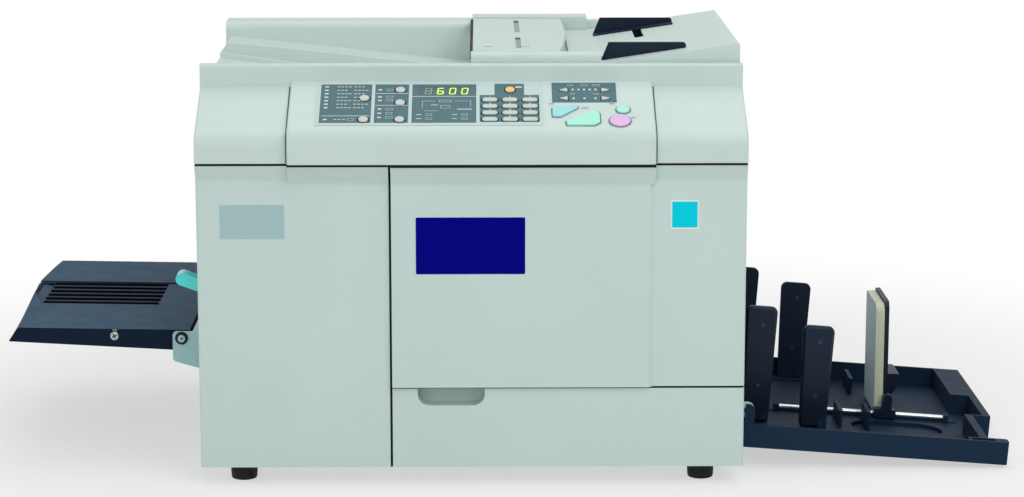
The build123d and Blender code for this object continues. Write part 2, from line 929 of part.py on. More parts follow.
def make_pickup_roller():
    roller = rod_y(pickup_x, pickup_z, pickup_radius, pickup_front_y, pickup_back_y)
    shaft = rod_y(pickup_x, pickup_z, pickup_shaft_radius, front_frame_y, rear_frame_y + plate)
    return roller + shaft


def make_master_roll():
    roll = rod_y(roll_x, roll_z, roll_radius, roll_front_y, roll_back_y)
    return roll + rod_y(roll_x, roll_z, roll_shaft_radius, front_frame_y, rear_frame_y + plate)


def make_thermal_head():
    x0 = head_x + head_width
    head = block(head_x, x0, front_frame_y + plate, rear_frame_y, head_z, head_z + head_height)
    for row in range(head_fins):
        z = head_z + head_fin_thickness + row * head_fin_pitch
        head += block(x0, x0 + head_fin_reach, roll_front_y, roll_back_y, z, z + head_fin_thickness)
    return head


def make_exit_conveyor():
    x0, x1 = conveyor_left, conveyor_right
    y0, y1 = conveyor_front_y, conveyor_back_y
    low = conveyor_top - conveyor_thickness
    deck = block(x0, x1, y0, y1, low, conveyor_top)
    deck -= block(x0 + wall, x1 - wall, y0 + wall, y1 - wall, low - over, conveyor_top - wall)
    belt_pitch = (y1 - y0) / conveyor_belts
    for index in range(conveyor_belts):
        y = y0 + (index + 0.5) * belt_pitch - belt_width / 2
        top = conveyor_top + belt_height
        deck += block(x0 + belt_inset, x1 - belt_inset, y, y + belt_width, conveyor_top, top)
    for x in (x0 + conveyor_shaft_inset, x1 - conveyor_shaft_inset):
        z = low + conveyor_shaft_lift
        deck += rod_y(x, z, conveyor_shaft_radius, front_frame_y + plate, rear_frame_y)
    return deck


def make_control_board():
    board = block(board_left, board_right, board_y, board_y + board_thickness, board_low, board_high)
    for x, z, w, h, d in board_pieces:
        board += block(x, x + w, board_y - d, board_y, z - h / 2, z + h / 2)
    for x in (board_left + post_inset, board_right - post_inset):
        for z in (board_low + post_inset, board_high - post_inset):
            board += rod_y(x, z, post_radius, rear_frame_y + plate, board_y)
    return board


# Upper unit


def slope_frame():
    """The control panel's frame: X to the right, Y up the slope and Z out of the panel."""
    rise = center_slope_top - center_foot_z
    run = slope_top_y - center_chin_y
    length = sqrt(rise * rise + run * run)
    return Plane(
        origin=(0, center_chin_y, center_foot_z), x_dir=(1, 0, 0), z_dir=(0, -rise / length, run / length)
    )


def ramp_height(x):
    return ramp_high - (x - ramp_left) * (ramp_high - ramp_low) / (-exit_edge - ramp_left)


def falling(high, angle, x):
    return max(high - (x + half_width) * tan(radians(angle)), upper_floor_z + wall)


def flank_outline():
    """The upper unit's (y, z, radius) outline beside the control panel."""
    return [
        (flank_chin_y, upper_bottom, 0),
        (flank_chin_y, flank_foot_z, casing_bend),
        (slope_top_y, flank_slope_top, 0),
        (slope_top_y, lip_top, lip_round),
        (lip_back_y, lip_top, 0),
        (lip_back_y, deck_z, 0),
        (upper_back_y, deck_z, 0),
        (upper_back_y, upper_bottom, 0),
    ]


def center_outline():
    """The (y, z, radius) outline of the raised part that holds the control panel."""
    return [
        (center_chin_y, upper_bottom, 0),
        (center_chin_y, center_foot_z, casing_bend),
        (slope_top_y, center_slope_top, 0),
        (slope_top_y, upper_bottom, 0),
    ]


def rounded_ends(shape, back_y, radius):
    """Rounds the edges of both ends of a solid along X that lie ahead of a place in Y."""
    ends = shape.faces().filter_by(Axis.X)
    edges = [e for face in ends for e in face.edges() if e.center().Y < back_y]
    return fillet([e for e in edges if e.bounding_box().max.Z > upper_bottom + over], radius)


def top_front_edge(shape):
    return shape.edges().filter_by(Axis.X).sort_by(Axis.Z)[-2:].sort_by(Axis.Y)[0]


def make_upper_casing():
    flank = bent_x(flank_outline(), -half_width, half_width)
    raised = bent_x(center_outline(), -center_edge, center_edge)
    casing = rounded_ends(flank, slope_top_y - over, raise_round)
    casing += rounded_ends(raised, slope_top_y - over, raise_round)

    # The back housing, the feeder's two bars and the low step behind the original tray
    low = deck_z - over
    housing = block(-half_width, 0, ramp_back_y, upper_back_y, low, housing_top)
    casing += fillet(top_front_edge(housing), housing_round)
    bar = block(-over, feeder_right, bar_front_y, bar_back_y, low, bar_top)
    casing += fillet(top_front_edge(bar), bar_round)
    casing += block(0, back_bar_right, back_bar_y, upper_back_y, low, back_bar_top)
    casing += block(back_bar_right, rear_step_right, rear_step_y, upper_back_y, low, rear_step_top)

    # The document exit: a ramp that falls to the right, and two lower ledges before it
    high = housing_top + 2 * housing_round
    end = -exit_edge
    ramp = [(ramp_left, ramp_height(ramp_left)), (end, ramp_low), (end, high), (ramp_left, high)]
    casing -= along_y(ramp, ramp_front_y, ramp_back_y)
    left = -half_width - over
    for top, angle, y0, y1 in (
        (ledge_high, ledge_angle, ledge_front_y, ramp_front_y),
        (floor_high, floor_angle, lip_back_y, ledge_front_y),
    ):
        end_z = upper_floor_z + wall
        bottom_x = -half_width + (top - end_z) / tan(radians(angle))
        outline = [(left, top), (bottom_x, end_z), (end, end_z), (end, high), (left, high)]
        if bottom_x > end:
            outline = [(left, top), (end, falling(top, angle, end)), (end, high), (left, high)]
        casing -= along_y(outline, y0, y1)
    casing -= block(left, ramp_left, ramp_front_y - over, ramp_back_y, ledge_high, high)

    # Hollow inside, so that the casing is a shell that is open below
    slope = (flank_slope_top - flank_foot_z) / (slope_top_y - flank_chin_y)
    drop = wall * sqrt(1 + slope * slope)
    inner_bend = casing_bend - wall
    y0 = flank_chin_y + wall
    y1 = slope_top_y + wall
    z0 = flank_foot_z + wall * slope - drop
    z1 = flank_slope_top + wall * slope - drop
    back = upper_back_y - wall
    low = upper_bottom - over
    front = [(y0, low, 0), (y0, z0, inner_bend), (y1, z1, 0), (y1, deck_z - wall, 0)]
    right_side = [*front, (back, deck_z - wall, 0), (back, low, 0)]
    floor_y = lip_back_y - wall
    left_side = [*front, (floor_y, deck_z - wall, 0), (floor_y, upper_floor_z, 0), (back, upper_floor_z, 0)]
    casing -= bent_x(right_side, 0, half_width - wall)
    casing -= bent_x([*left_side, (back, low, 0)], -half_width + wall, 0)
    casing -= block(-half_width + wall, 0, ramp_back_y + wall, back, low, housing_top - wall)
    center_slope = (center_slope_top - center_foot_z) / (slope_top_y - center_chin_y)
    center_drop = wall * sqrt(1 + center_slope * center_slope)
    y0 = center_chin_y + wall
    z0 = center_foot_z + wall * center_slope - center_drop
    z1 = center_slope_top - center_drop
    raised = [(y0, low, 0), (y0, z0, inner_bend), (slope_top_y, z1, 0), (slope_top_y, low, 0)]
    casing -= bent_x(raised, -center_edge + wall, center_edge - wall)

    # The window of the scanner, with a ledge that the glass lies on
    x0, x1, y0, y1 = glass_left, glass_right, glass_front_y, glass_back_y
    rim = glass_ledge + over
    casing += block(x0 - rim, x1 + rim, y0 - rim, y1 + rim, deck_z - wall - rim, deck_z - wall)
    ledge = glass_ledge
    casing -= block(x0 + ledge, x1 - ledge, y0 + ledge, y1 - ledge, deck_z - 3 * wall, deck_z + over)
    casing -= block(x0, x1, y0, y1, deck_z - wall, deck_z + over)

    # Pins for the feeder's lid, and arms for the hinge at the back
    reach = lid_gap + wall
    for y0, y1 in ((bar_back_y - over, bar_back_y + reach), (back_bar_y - reach, back_bar_y + over)):
        casing += rod_y(feeder_pin_x, feeder_pin_z, feeder_pin_radius, y0, y1)
    for side in (-1, 1):
        outer = side * (tilt_post_x - tilt_post_width / 2 - tilt_gap)
        inner = outer - side * tilt_arm_width
        x0, x1 = min(outer, inner), max(outer, inner)
        arm = block(x0, x1, upper_back_y - over, tilt_y, tilt_z - tilt_arm_radius, tilt_z + tilt_arm_radius)
        arm += rod_x(tilt_y, tilt_z, tilt_arm_radius, x0, x1)
        casing += arm - rod_x(tilt_y, tilt_z, tilt_pin_radius + running_gap, x0 - over, x1 + over)

    # Holes for the keys, and a pocket for the display window
    panel = slope_frame().location
    depth = 3 * wall
    for outline in key_outlines().values():
        for face in outline:
            casing -= panel * (Pos(0, 0, -depth) * extrude(offset(face, key_gap), amount=depth + over))
    low = overlay_thickness - window_thickness
    pocket = block(window_left, window_right, window_low, window_high, low, over)
    return casing - panel * pocket


def rounded(points, radius):
    """A flat face with rounded corners, from its corner points."""
    face = make_face(Polyline(*points, close=True))
    return fillet(face.vertices(), radius)


def key_outlines():
    """Each key node's outlines on the slope."""
    keys = {}
    for index, x in enumerate(number_columns):
        pill = SlotOverall(number_width, number_height)
        keys[f"key_numbers_{index + 1}"] = [Pos(x, y) * pill for y in number_rows]
    for index, (x, y) in enumerate(select_places):
        keys[f"key_select_{index + 1}"] = [Pos(x, y) * Circle(select_radius)]
    arrows = []
    for y in arrow_rows:
        for x, way in ((arrow_left_x, -1), (arrow_right_x, 1)):
            tip = (x + way * arrow_length / 2, y)
            foot = x - way * arrow_length / 2
            corners = [(foot, y - arrow_width / 2), tip, (foot, y + arrow_width / 2)]
            arrows.append(rounded(corners[::way], arrow_round))
    keys["key_arrows"] = arrows
    keys["key_wake"] = [Pos(*wake_place) * Circle(wake_radius)]
    keys["key_master"] = [rounded(master_outline, outline_round)]
    keys["key_start"] = [rounded(start_outline, outline_round)]
    keys["key_test"] = [Pos(*test_place) * Circle(test_radius)]
    keys["key_stop"] = [Pos(*stop_place) * Circle(stop_radius)]
    return keys


def make_keys():
    panel = slope_frame().location
    nodes = {}
    for name, outlines in key_outlines().items():
        caps = []
        for face in outlines:
            cap = extrude(face, amount=key_depth + key_travel + key_pressed_height)
            top = cap.faces().sort_by(Axis.Z)[-1]
            cap = chamfer(top.edges(), key_chamfer)
            caps.append(panel * (Pos(0, 0, -key_depth) * cap))
        nodes[name] = caps
    return nodes


def make_control_panel():
    panel = slope_frame().location
    main = block(overlay_left, overlay_right, overlay_low, overlay_high, 0, overlay_thickness)
    side = block(side_block_left, side_block_right, side_block_low, side_block_high, 0, overlay_thickness)
    for name, outlines in key_outlines().items():
        for face in outlines:
            hole = Pos(0, 0, -over) * extrude(offset(face, key_gap), amount=overlay_thickness + 2 * over)
            main -= hole
            side -= hole
    main -= block(window_left, window_right, window_low, window_high, -over, overlay_thickness + over)
    return [panel * main, panel * side]


def make_display_window():
    window = block(
        window_left + glass_gap,
        window_right - glass_gap,
        window_low + glass_gap,
        window_high - glass_gap,
        overlay_thickness - window_thickness,
        overlay_thickness,
    )
    return slope_frame().location * window


def make_scan_glass():
    x0 = glass_left + glass_gap
    x1 = glass_right - glass_gap
    return block(x0, x1, glass_front_y + glass_gap, glass_back_y - glass_gap, deck_z - wall, deck_z)


def tray_height(x):
    """The height of the original tray's surface."""
    rise = (tray_high_z - tray_low_z) / (tray_right - tray_bend_x)
    return tray_low_z + max(0.0, x - tray_bend_x) * rise


def make_original_tray():
    low = deck_z - over
    outline = FilletPolyline(
        (tray_left, tray_front_y, deck_z),
        (tray_left, tray_front_y, tray_low_z),
        (tray_bend_x, tray_front_y, tray_low_z),
        (tray_right, tray_front_y, tray_high_z),
        (tray_right, tray_front_y, deck_z),
        radius=[0, tray_round / 2, 0, tray_round, 0],
        close=True,
    )
    tray = extrude(make_face(outline), amount=tray_back_y - tray_front_y, dir=(0, 1, 0))
    # The front bar, the back bar and the low step of the casing stand inside its outline
    x0 = tray_left - over
    tray -= block(x0, feeder_right + tray_gap, tray_front_y - over, bar_back_y + tray_gap, low, lid_top)
    tray -= block(x0, back_bar_right + tray_gap, back_bar_y - tray_gap, tray_back_y + over, low, lid_top)
    hollow_x = tray_bend_x + 4 * wall
    hollow = [
        (hollow_x, low),
        (hollow_x, tray_height(hollow_x) - wall),
        (tray_right - wall, tray_height(tray_right - wall) - wall),
        (tray_right - wall, low),
    ]
    tray -= along_y(hollow, tray_front_y + wall, tray_back_y - wall)
    x0 = stem_x - stem_width / 2 - slot_gap
    x1 = stem_x + stem_width / 2 + slot_gap
    for y0, y1 in guide_slots():
        tray -= block(x0, x1, y0, y1, deck_z + slot_floor, tray_high_z)
    return tray


def guide_slots():
    """The two slots, across the tray, that the guides' stems run in."""
    front = guide_front_y + guide_thickness
    back = guide_back_y
    size = stem_width + slot_gap
    return (front - slot_gap, front + size + guide_travel), (back - size - guide_travel, back + slot_gap)


def make_original_guide(front):
    y0 = guide_front_y if front else guide_back_y
    y1 = y0 + guide_thickness
    lift = guide_lift
    wall_outline = [
        (guide_left, tray_height(guide_left) + lift),
        (guide_left + guide_slant, guide_top),
        (guide_right - guide_tip, guide_top),
        (guide_right, guide_top - guide_tip),
        (guide_right, tray_height(guide_right) + lift),
    ]
    flange = [
        (guide_left, tray_height(guide_left) + lift),
        (guide_right, tray_height(guide_right) + lift),
        (guide_right, tray_height(guide_right) + lift + flange_thickness),
        (guide_left, tray_height(guide_left) + lift + flange_thickness),
    ]
    guide = along_y(wall_outline, y0, y1)
    flange_y = (y1, y1 + flange_depth) if front else (y0 - flange_depth, y0)
    guide += along_y(flange, *flange_y)
    stem_y = y1 if front else y0 - stem_width
    x0 = stem_x - stem_width / 2
    top = tray_height(stem_x) + lift + flange_thickness / 2
    x1 = x0 + stem_width
    y0, y1 = stem_y, stem_y + stem_width
    low = deck_z + stem_lift
    guide += block(x0, x1, y0, y1, low, top)
    return guide + block(x0 - stem_foot, x1 + stem_foot, y0, y1, low, low + stem_foot_height)


def lid_outline(inset):
    """The feeder lid seen from above, with its bowed right end."""
    y0 = bar_back_y + lid_gap + inset
    y1 = back_bar_y - lid_gap - inset
    left = lid_left + inset
    sides = Polyline((lid_right_back - inset, y1), (left, y1), (left, y0), (lid_right_front - inset, y0))
    front_corner = (lid_right_front - inset, y0)
    back_corner = (lid_right_back - inset, y1)
    bow = ThreePointArc(front_corner, (lid_right_middle - inset, (y0 + y1) / 2), back_corner)
    return make_face([*sides.edges(), *bow.edges()])


def make_adf_cover():
    lid = Pos(0, 0, lid_lip_z) * extrude(lid_outline(0), amount=lid_top - lid_lip_z)
    lid = fillet(lid.faces().sort_by(Axis.Z)[-1].edges(), lid_round)
    depth = lid_top - lid_lip_z - wall + over
    lid -= Pos(0, 0, lid_lip_z - over) * extrude(lid_outline(wall), amount=depth)
    for y0, y1 in lid_slot_spans:
        lid -= block(lid_slot_left, lid_slot_right, y0, y1, lid_top - lid_slot_depth, lid_top + over)
    front = bar_back_y + lid_gap
    back = back_bar_y - lid_gap
    for y0 in (front, back - wall):
        x1 = lid_right_front - lid_cheek_inset
        lid += block(lid_cheek_left, x1, y0, y0 + wall, lid_bottom, lid_top - wall)
    lid += block(lid_left, lid_left + wall, front, back, lid_exit_z, lid_top - wall)
    for y0 in (front - over, back - wall - over):
        y1 = y0 + wall + 2 * over
        lid -= rod_y(feeder_pin_x, feeder_pin_z, feeder_pin_radius + running_gap, y0, y1)
    x0 = roller_x() - lid_boss_width / 2
    x1 = roller_x() + lid_boss_width / 2
    for y0, y1 in ((front, glass_front_y - over), (glass_back_y + over, back)):
        lid += block(x0, x1, y0, y1, roller_z() - lid_boss_drop, lid_top - wall)
    reach = feeder_shaft_reach + over
    bore = feeder_shaft_radius + running_gap
    return lid - rod_y(roller_x(), roller_z(), bore, glass_front_y - reach, glass_back_y + reach)


def roller_x():
    return (glass_left + glass_right) / 2


def roller_z():
    return deck_z + roller_lift + feeder_roller_radius


def make_adf_roller():
    roller = rod_y(roller_x(), roller_z(), feeder_roller_radius, glass_front_y, glass_back_y)
    y0, y1 = glass_front_y - feeder_shaft_reach, glass_back_y + feeder_shaft_reach
    return roller + rod_y(roller_x(), roller_z(), feeder_shaft_radius, y0, y1)


# Feed side


def make_feed_lift():
    top = bracket_top - paper_plate_drop
    y0, y1 = bracket_y + bracket_thickness, bracket_back_y
    lift = block(paper_plate_left, paper_plate_right, y0, y1, top - wall, top)
    outline = [
        (bracket_left, bracket_low_left),
        (bracket_left, bracket_top),
        (bracket_right, bracket_top),
        (bracket_right, bracket_low_right),
    ]
    for y0, way in ((bracket_y, 1), (bracket_back_y, -1)):
        side = along_y(outline, y0, y0 + bracket_thickness)
        left = side.edges().filter_by(Axis.Y).sort_by(Axis.X)[:2]
        lift += fillet(left, bracket_round)
        outer = y0 if way > 0 else y0 + bracket_thickness
        reach = feed_front_y + 2 * wall if way > 0 else feed_back_y - 2 * wall
        for radius, end in (
            (washer_radius, outer - way * washer_thickness),
            (screw_radius, outer - way * screw_height),
            (feed_pin_radius, reach),
        ):
            lift += rod_y(feed_pivot_x, feed_pivot_z, radius, *sorted((outer, end)))
    return lift


def feed_top(x):
    """The height of the feed tray's top."""
    share = (feed_end_x - x) / (feed_end_x - feed_tip_x)
    return feed_top_end + share * (feed_top_tip - feed_top_end)


def under_feed_top(depth, x0, x1, y0, y1):
    """A solid that follows the feed tray's top at a depth, from there down past its skirt."""
    low = feed_low_end - feed_bevel
    outline = [(x1, feed_top(x1) - depth), (x0, feed_top(x0) - depth), (x0, low), (x1, low)]
    return along_y(outline, y0, y1)


def above_feed_top(depth, x0, x1):
    """The (x, z) outline of a cut into the feed tray's top, so deep at each of its ends."""
    high = feed_top_tip + feed_bevel
    return [(x0, feed_top(x0) - depth[0]), (x1, feed_top(x1) - depth[1]), (x1, high), (x0, high)]


def make_feed_tray():
    far = feed_bow_x - feed_bevel
    side = [
        (feed_end_x, feed_top_end),
        (far, feed_top(far)),
        (far, feed_low_tip),
        (feed_end_x, feed_low_end),
    ]
    middle_y = (feed_front_y + feed_back_y) / 2
    front_tip = (feed_tip_x, feed_front_y)
    back_tip = (feed_back_tip_x, feed_back_y)
    bow = ThreePointArc(front_tip, (feed_bow_x, middle_y - feed_bow_shift), back_tip)
    rest = Polyline(back_tip, (feed_end_x, feed_back_y), (feed_end_x, feed_front_y), front_tip)
    plan = extrude(make_face([*bow.edges(), *rest.edges()]), amount=2 * feed_top_tip)
    tray = along_y(side, feed_front_y, feed_back_y) & plan

    # The bevel at the tip, widest at the front
    def bevel_end(y, top_x, low_x):
        high, low = feed_top_tip + over, feed_low_tip - over
        corners = ((top_x, y, high), (low_x, y, low), (far, y, low), (far, y, high))
        return make_face(Polyline(*corners, close=True))

    front_end = bevel_end(feed_front_y, feed_tip_x + feed_bevel, feed_tip_x - over)
    back_end = bevel_end(feed_recess_back, feed_bow_x + over, feed_bow_x - over)
    tray -= loft([front_end, back_end], ruled=True)

    # Hollow below: a thin top with a skirt, thicker under the channel
    x0, x1 = feed_tip_x + feed_tip_solid, feed_end_x - wall
    y0, y1 = feed_recess_front - wall, feed_recess_back + wall
    tray -= under_feed_top(wall, x0, x1, feed_front_y + wall, y0)
    tray -= under_feed_top(feed_slab, x0, x1, y0, y1)
    tray -= under_feed_top(wall, x0, x1, y1, feed_back_y - wall)

    # The shallow channel across the middle, with a sunk lead-in and grooves
    lead_x, lead_y = feed_lead_tip
    far_x = far - over
    channel_plan = [
        (far_x, lead_y),
        (lead_x, lead_y),
        (feed_slot_left, feed_recess_front),
        (feed_end_x + over, feed_recess_front),
        (feed_end_x + over, feed_recess_back),
        (far_x, feed_recess_back),
    ]
    depth = feed_recess_depth
    channel = above_feed_top((depth, depth), far_x, feed_end_x + over)
    channel = along_y(channel, feed_recess_front, feed_recess_back)
    tray -= channel & along_z(channel_plan, 0, 2 * feed_top_tip)
    lead_back = feed_recess_back - feed_lead_inset
    lead_plan = [
        (far_x, lead_y),
        (lead_x, lead_y),
        (feed_slot_left, feed_recess_front),
        (feed_slot_left, lead_back),
        (far_x, lead_back),
    ]
    lead_in = along_y(above_feed_top((depth, feed_lead_depth), lead_x, feed_slot_left), 0, body_depth)
    tray -= lead_in & along_z(lead_plan, 0, 2 * feed_top_tip)
    pitch = (feed_recess_back - feed_recess_front) / feed_slot_count
    for index in range(feed_slot_count):
        y = feed_recess_front + (index + 0.5) * pitch
        half = pitch * feed_slot_share / 2
        x0 = feed_slot_left - over
        groove = above_feed_top((feed_slot_depth, feed_slot_depth), x0, feed_slot_right)
        tray -= along_y(groove, y - half, y + half)
    for y in (feed_front_y, feed_back_y - wall):
        tray -= rod_y(feed_pivot_x, feed_pivot_z, feed_pin_radius + running_gap, y - over, y + wall + over)
    return tray


def make_feed_lever():
    half = lever_height / 2
    a = radians(lever_angle)
    body = block(-lever_reach + half, 0, lever_front_y, lever_back_y, -half, half)
    body += rod_y(-lever_reach + half, 0, half, lever_front_y, lever_back_y)
    body += rod_y(0, 0, half, lever_front_y, lever_back_y)
    body -= rod_y(0, 0, lever_pin_radius + running_gap, lever_front_y - over, lever_back_y + over)
    frame = Plane(
        origin=(lever_pivot_x, 0, lever_pivot_z), x_dir=(cos(a), 0, -sin(a)), z_dir=(sin(a), 0, cos(a))
    )
    return frame.location * body


# Exit side


def make_exit_tray():
    outline = [
        (0, exit_front_y),
        (exit_length, exit_front_y),
        (exit_length, strip_back_y),
        (arm_right, strip_back_y),
        (arm_right, notch_back_y),
        (middle_right, notch_back_y),
        (middle_right, exit_back_y),
        (0, exit_back_y),
    ]
    inside = [
        (exit_wall, exit_front_y + exit_wall),
        (strip_block, exit_front_y + exit_wall),
        (strip_block, strip_back_y),
        (arm_left, strip_back_y),
        (arm_left, notch_back_y + exit_wall),
        (middle_right - rim_width, notch_back_y + exit_wall),
        (middle_right - rim_width, corner_block_front),
        (corner_block_left, corner_block_front),
        (corner_block_left, exit_back_y - exit_wall),
        (exit_wall, exit_back_y - exit_wall),
    ]
    tray = along_z(outline, 0, exit_rim)
    tip = tray.edges().filter_by(Axis.Z).sort_by(Axis.X)[-2:]
    tray = fillet(tip, corner_radius)
    tray -= along_z(inside, exit_floor, exit_rim + over)
    # Paper leaves over the low edge beside the machine
    sill = exit_floor + exit_sill
    tray -= block(-over, exit_wall + over, exit_mouth_front, exit_mouth_back, sill, exit_rim + over)
    # The corner block is hollow below, and the strip has a slot on top
    tray -= block(
        corner_block_left + wall,
        middle_right - wall,
        corner_block_front + wall,
        exit_back_y - wall,
        -over,
        exit_rim - wall,
    )
    x0, y0, y1 = strip_block + exit_wall, exit_front_y + wall + over, strip_back_y - exit_wall
    tray -= block(x0, x0 + slot_length, y0, y1, exit_rim - slot_depth, exit_rim + over)
    # The band that carries the rail, with a stop block at each end
    tray += block(exit_wall, corner_block_left, band_front_y, band_back_y, exit_floor / 2, band_height)
    half = rail_block_width / 2
    for u in (rail_left - rail_block_length, rail_right):
        x1, w0, w1 = u + rail_block_length, band_height - over, band_height + rail_block_height
        tray += block(u, x1, rail_y - half, rail_y + half, w0, w1)
    # The finger trough
    low = exit_floor - trough_depth
    tray += trough(trough_wall, low - trough_wall, exit_floor / 2)
    tray -= trough(0, low, exit_floor + over)
    # Ribs that the paper lies on, with round ends
    for u in rib_places:
        for y0, y1 in ((rib_front_y, rib_back_y), (back_rib_front_y, back_rib_back_y)):
            middle = y0 + rib_width / 2
            tray += block(u, u + rib_width, middle, y1, low, rib_top)
            w0 = exit_floor - over
            end = Pos(u + rib_width / 2, middle, (w0 + rib_top) / 2)
            tray += end * Cylinder(rib_width / 2, rib_top - w0)
    # Cheeks with the pins that the tray folds on
    front_ear, back_ear = exit_ear_y()
    front_cheek = exit_front_y + cheek_inset
    back_cheek = exit_back_y - cheek_inset - cheek_thickness
    for y0, pin in (
        (front_cheek, (front_cheek + cheek_thickness / 2, front_ear + ear_thickness)),
        (back_cheek, (back_ear, back_cheek + cheek_thickness / 2)),
    ):
        y1 = y0 + cheek_thickness
        u0, u1 = exit_pivot_u + over - cheek_radius, exit_pivot_u + over + cheek_radius
        cheek = block(u0, u1, y0, y1, exit_rim - exit_pin_radius - cheek_thickness, exit_pivot_w)
        cheek += rod_y(exit_pivot_u + over, exit_pivot_w, cheek_radius, y0, y1)
        cheek -= block(-exit_rim, -cheek_gap, y0 - over, y1 + over, 0, 2 * exit_pivot_w)
        tray += cheek
        tray += rod_y(exit_pivot_u, exit_pivot_w, exit_pin_radius, *pin)
    return exit_frame().location * tray


def trough(grow, w0, w1):
    """The finger trough's round-ended solid, so much larger all round."""
    half = (trough_back_y - trough_front_y) / 2 + grow
    middle = (trough_front_y + trough_back_y) / 2
    right = trough_right - (trough_back_y - trough_front_y) / 2
    shape = block(trough_left, right, middle - half, middle + half, w0, w1)
    for u in (trough_left, right):
        shape += Pos(u, middle, (w0 + w1) / 2) * Cylinder(half, w1 - w0)
    return shape


def make_exit_rail():
    rail = rod_x(rail_y, band_height + rail_radius, rail_radius, rail_left, rail_right)
    return exit_frame().location * rail


def fin_spots(front):
    """For each fin of a fence: its right edge, its top and its near and far faces in Y."""
    inner_y = front_fin_y if front else back_fin_y
    outer_y = inner_y - fin_step if front else inner_y + fin_step
    return (
        (inner_fin_right, inner_fin_top, inner_y),
        (outer_fin_right, outer_fin_top, outer_y),
    )


def make_fence_base(front):
    (inner_right, _, inner_y), (outer_right, _, outer_y) = fin_spots(front)
    low = min(inner_y, outer_y) - fin_ear - fin_ear_gap
    high = max(inner_y, outer_y) + fin_thickness + fin_ear + fin_ear_gap
    if not front:
        high = exit_back_y - exit_wall - fence_gap
    base = block(fence_left, fence_right, low, high, fence_base_low, fence_base_top)
    spots = (
        (inner_right - fin_pivot_inset, inner_y, front),
        (outer_right - fin_pivot_inset, outer_y, not front),
    )
    for u, y, behind in spots:
        ear_y = y + fin_thickness + fin_ear_gap if behind else y - fin_ear_gap - fin_ear
        ear_end = min(ear_y + fin_ear, high)
        ear = block(u - fin_ear_radius, u + fin_ear_radius, ear_y, ear_end, fence_base_low, fin_pivot_w)
        ear += rod_y(u, fin_pivot_w, fin_ear_radius, ear_y, ear_end)
        pin = (y, ear_end) if behind else (ear_y, y + fin_thickness)
        base += ear + rod_y(u, fin_pivot_w, fin_pin_radius, *pin)
    return exit_frame().location * base


def make_fin(right, top, y, outward):
    left_foot = right - fin_foot_width
    left_top = right - fin_top_width
    outline = [(left_foot, fin_low), (left_top, top), (right, top), (right, fin_low)]
    fin = along_y(outline, y, y + fin_thickness)
    corners = fin.edges().filter_by(Axis.Y).sort_by(Axis.Z)
    fin = fillet(corners[-2:], fin_corner)
    low = fin.edges().filter_by(Axis.Y).sort_by(Axis.Z)[:2]
    fin = fillet(low, fin_heel)
    side = fin.faces().filter_by(Axis.Y).sort_by(Axis.Y)[0 if outward else -1]
    fin = chamfer(side.edges(), fin_chamfer)
    bore = fin_pin_radius + running_gap
    fin -= rod_y(right - fin_pivot_inset, fin_pivot_w, bore, y - over, y + fin_thickness + over)
    return exit_frame().location * fin


def stop_pivot():
    """The end stop's pivot, as (x, z), and its distance down the tray."""
    a = radians(exit_slope)
    u = (stop_pivot_x - exit_x - stop_pivot_w * sin(a)) / cos(a)
    return stop_pivot_x, exit_point(u, stop_pivot_w)[1], u


def make_stop_carriage():
    _, _, u = stop_pivot()
    top = band_height + carriage_height
    y0, y1 = rail_y - carriage_reach, rail_y + carriage_hold
    foot = block(u - carriage_left, u + carriage_right, y0, y1, band_height + carriage_gap, top)
    ear_back = rail_y + carriage_ear
    ear = block(u - carriage_half, u + carriage_half, y0, ear_back, top - over, stop_pivot_w)
    ear += rod_y(u, stop_pivot_w, carriage_half, y0, ear_back)
    bore = rail_radius + running_gap
    foot -= rod_x(rail_y, band_height + rail_radius, bore, u - 2 * carriage_left, u + 2 * carriage_right)
    pin = rod_y(u, stop_pivot_w, stop_pin_radius, rail_y, stop_back_y - 2 * over)
    return exit_frame().location * (foot + ear + pin)


def panel_face(x, top, low):
    """An upright plate's outline across the tray, with rounded top corners."""
    plate_shape = block(x[0], x[1], stop_front_y, stop_back_y, low, top)
    corners = plate_shape.edges().filter_by(Axis.X).sort_by(Axis.Z)[-2:]
    return fillet(corners, stop_corner)


def make_stop_plate():
    x, z, _ = stop_pivot()
    back = x + stop_plate_back
    plate_shape = panel_face((back - stop_plate_thickness, back), stop_top_z, stop_low_z)
    wing_outline = FilletPolyline(
        (x, wing_front_y, z + wing_high),
        (x + wing_reach, wing_front_y, z + wing_high),
        (x + wing_reach, wing_front_y, z + wing_waist),
        (x + wing_toe, wing_front_y, z + wing_low),
        (x, wing_front_y, z + wing_low),
        radius=[0, wing_round, 2 * wing_round, wing_round / 2, 0],
        close=True,
    )
    plate_shape += extrude(make_face(wing_outline), amount=wing_back_y - wing_front_y, dir=(0, 1, 0))
    plate_shape += rod_y(x, z, stop_barrel_radius, stop_front_y, stop_back_y)
    return plate_shape - rod_y(x, z, stop_pin_radius + running_gap, stop_front_y - over, stop_back_y + over)


def make_stop_foam():
    x, _, _ = stop_pivot()
    face = x + stop_plate_back - stop_plate_thickness
    return panel_face((face - foam_thickness, face), foam_top_z, stop_low_z)


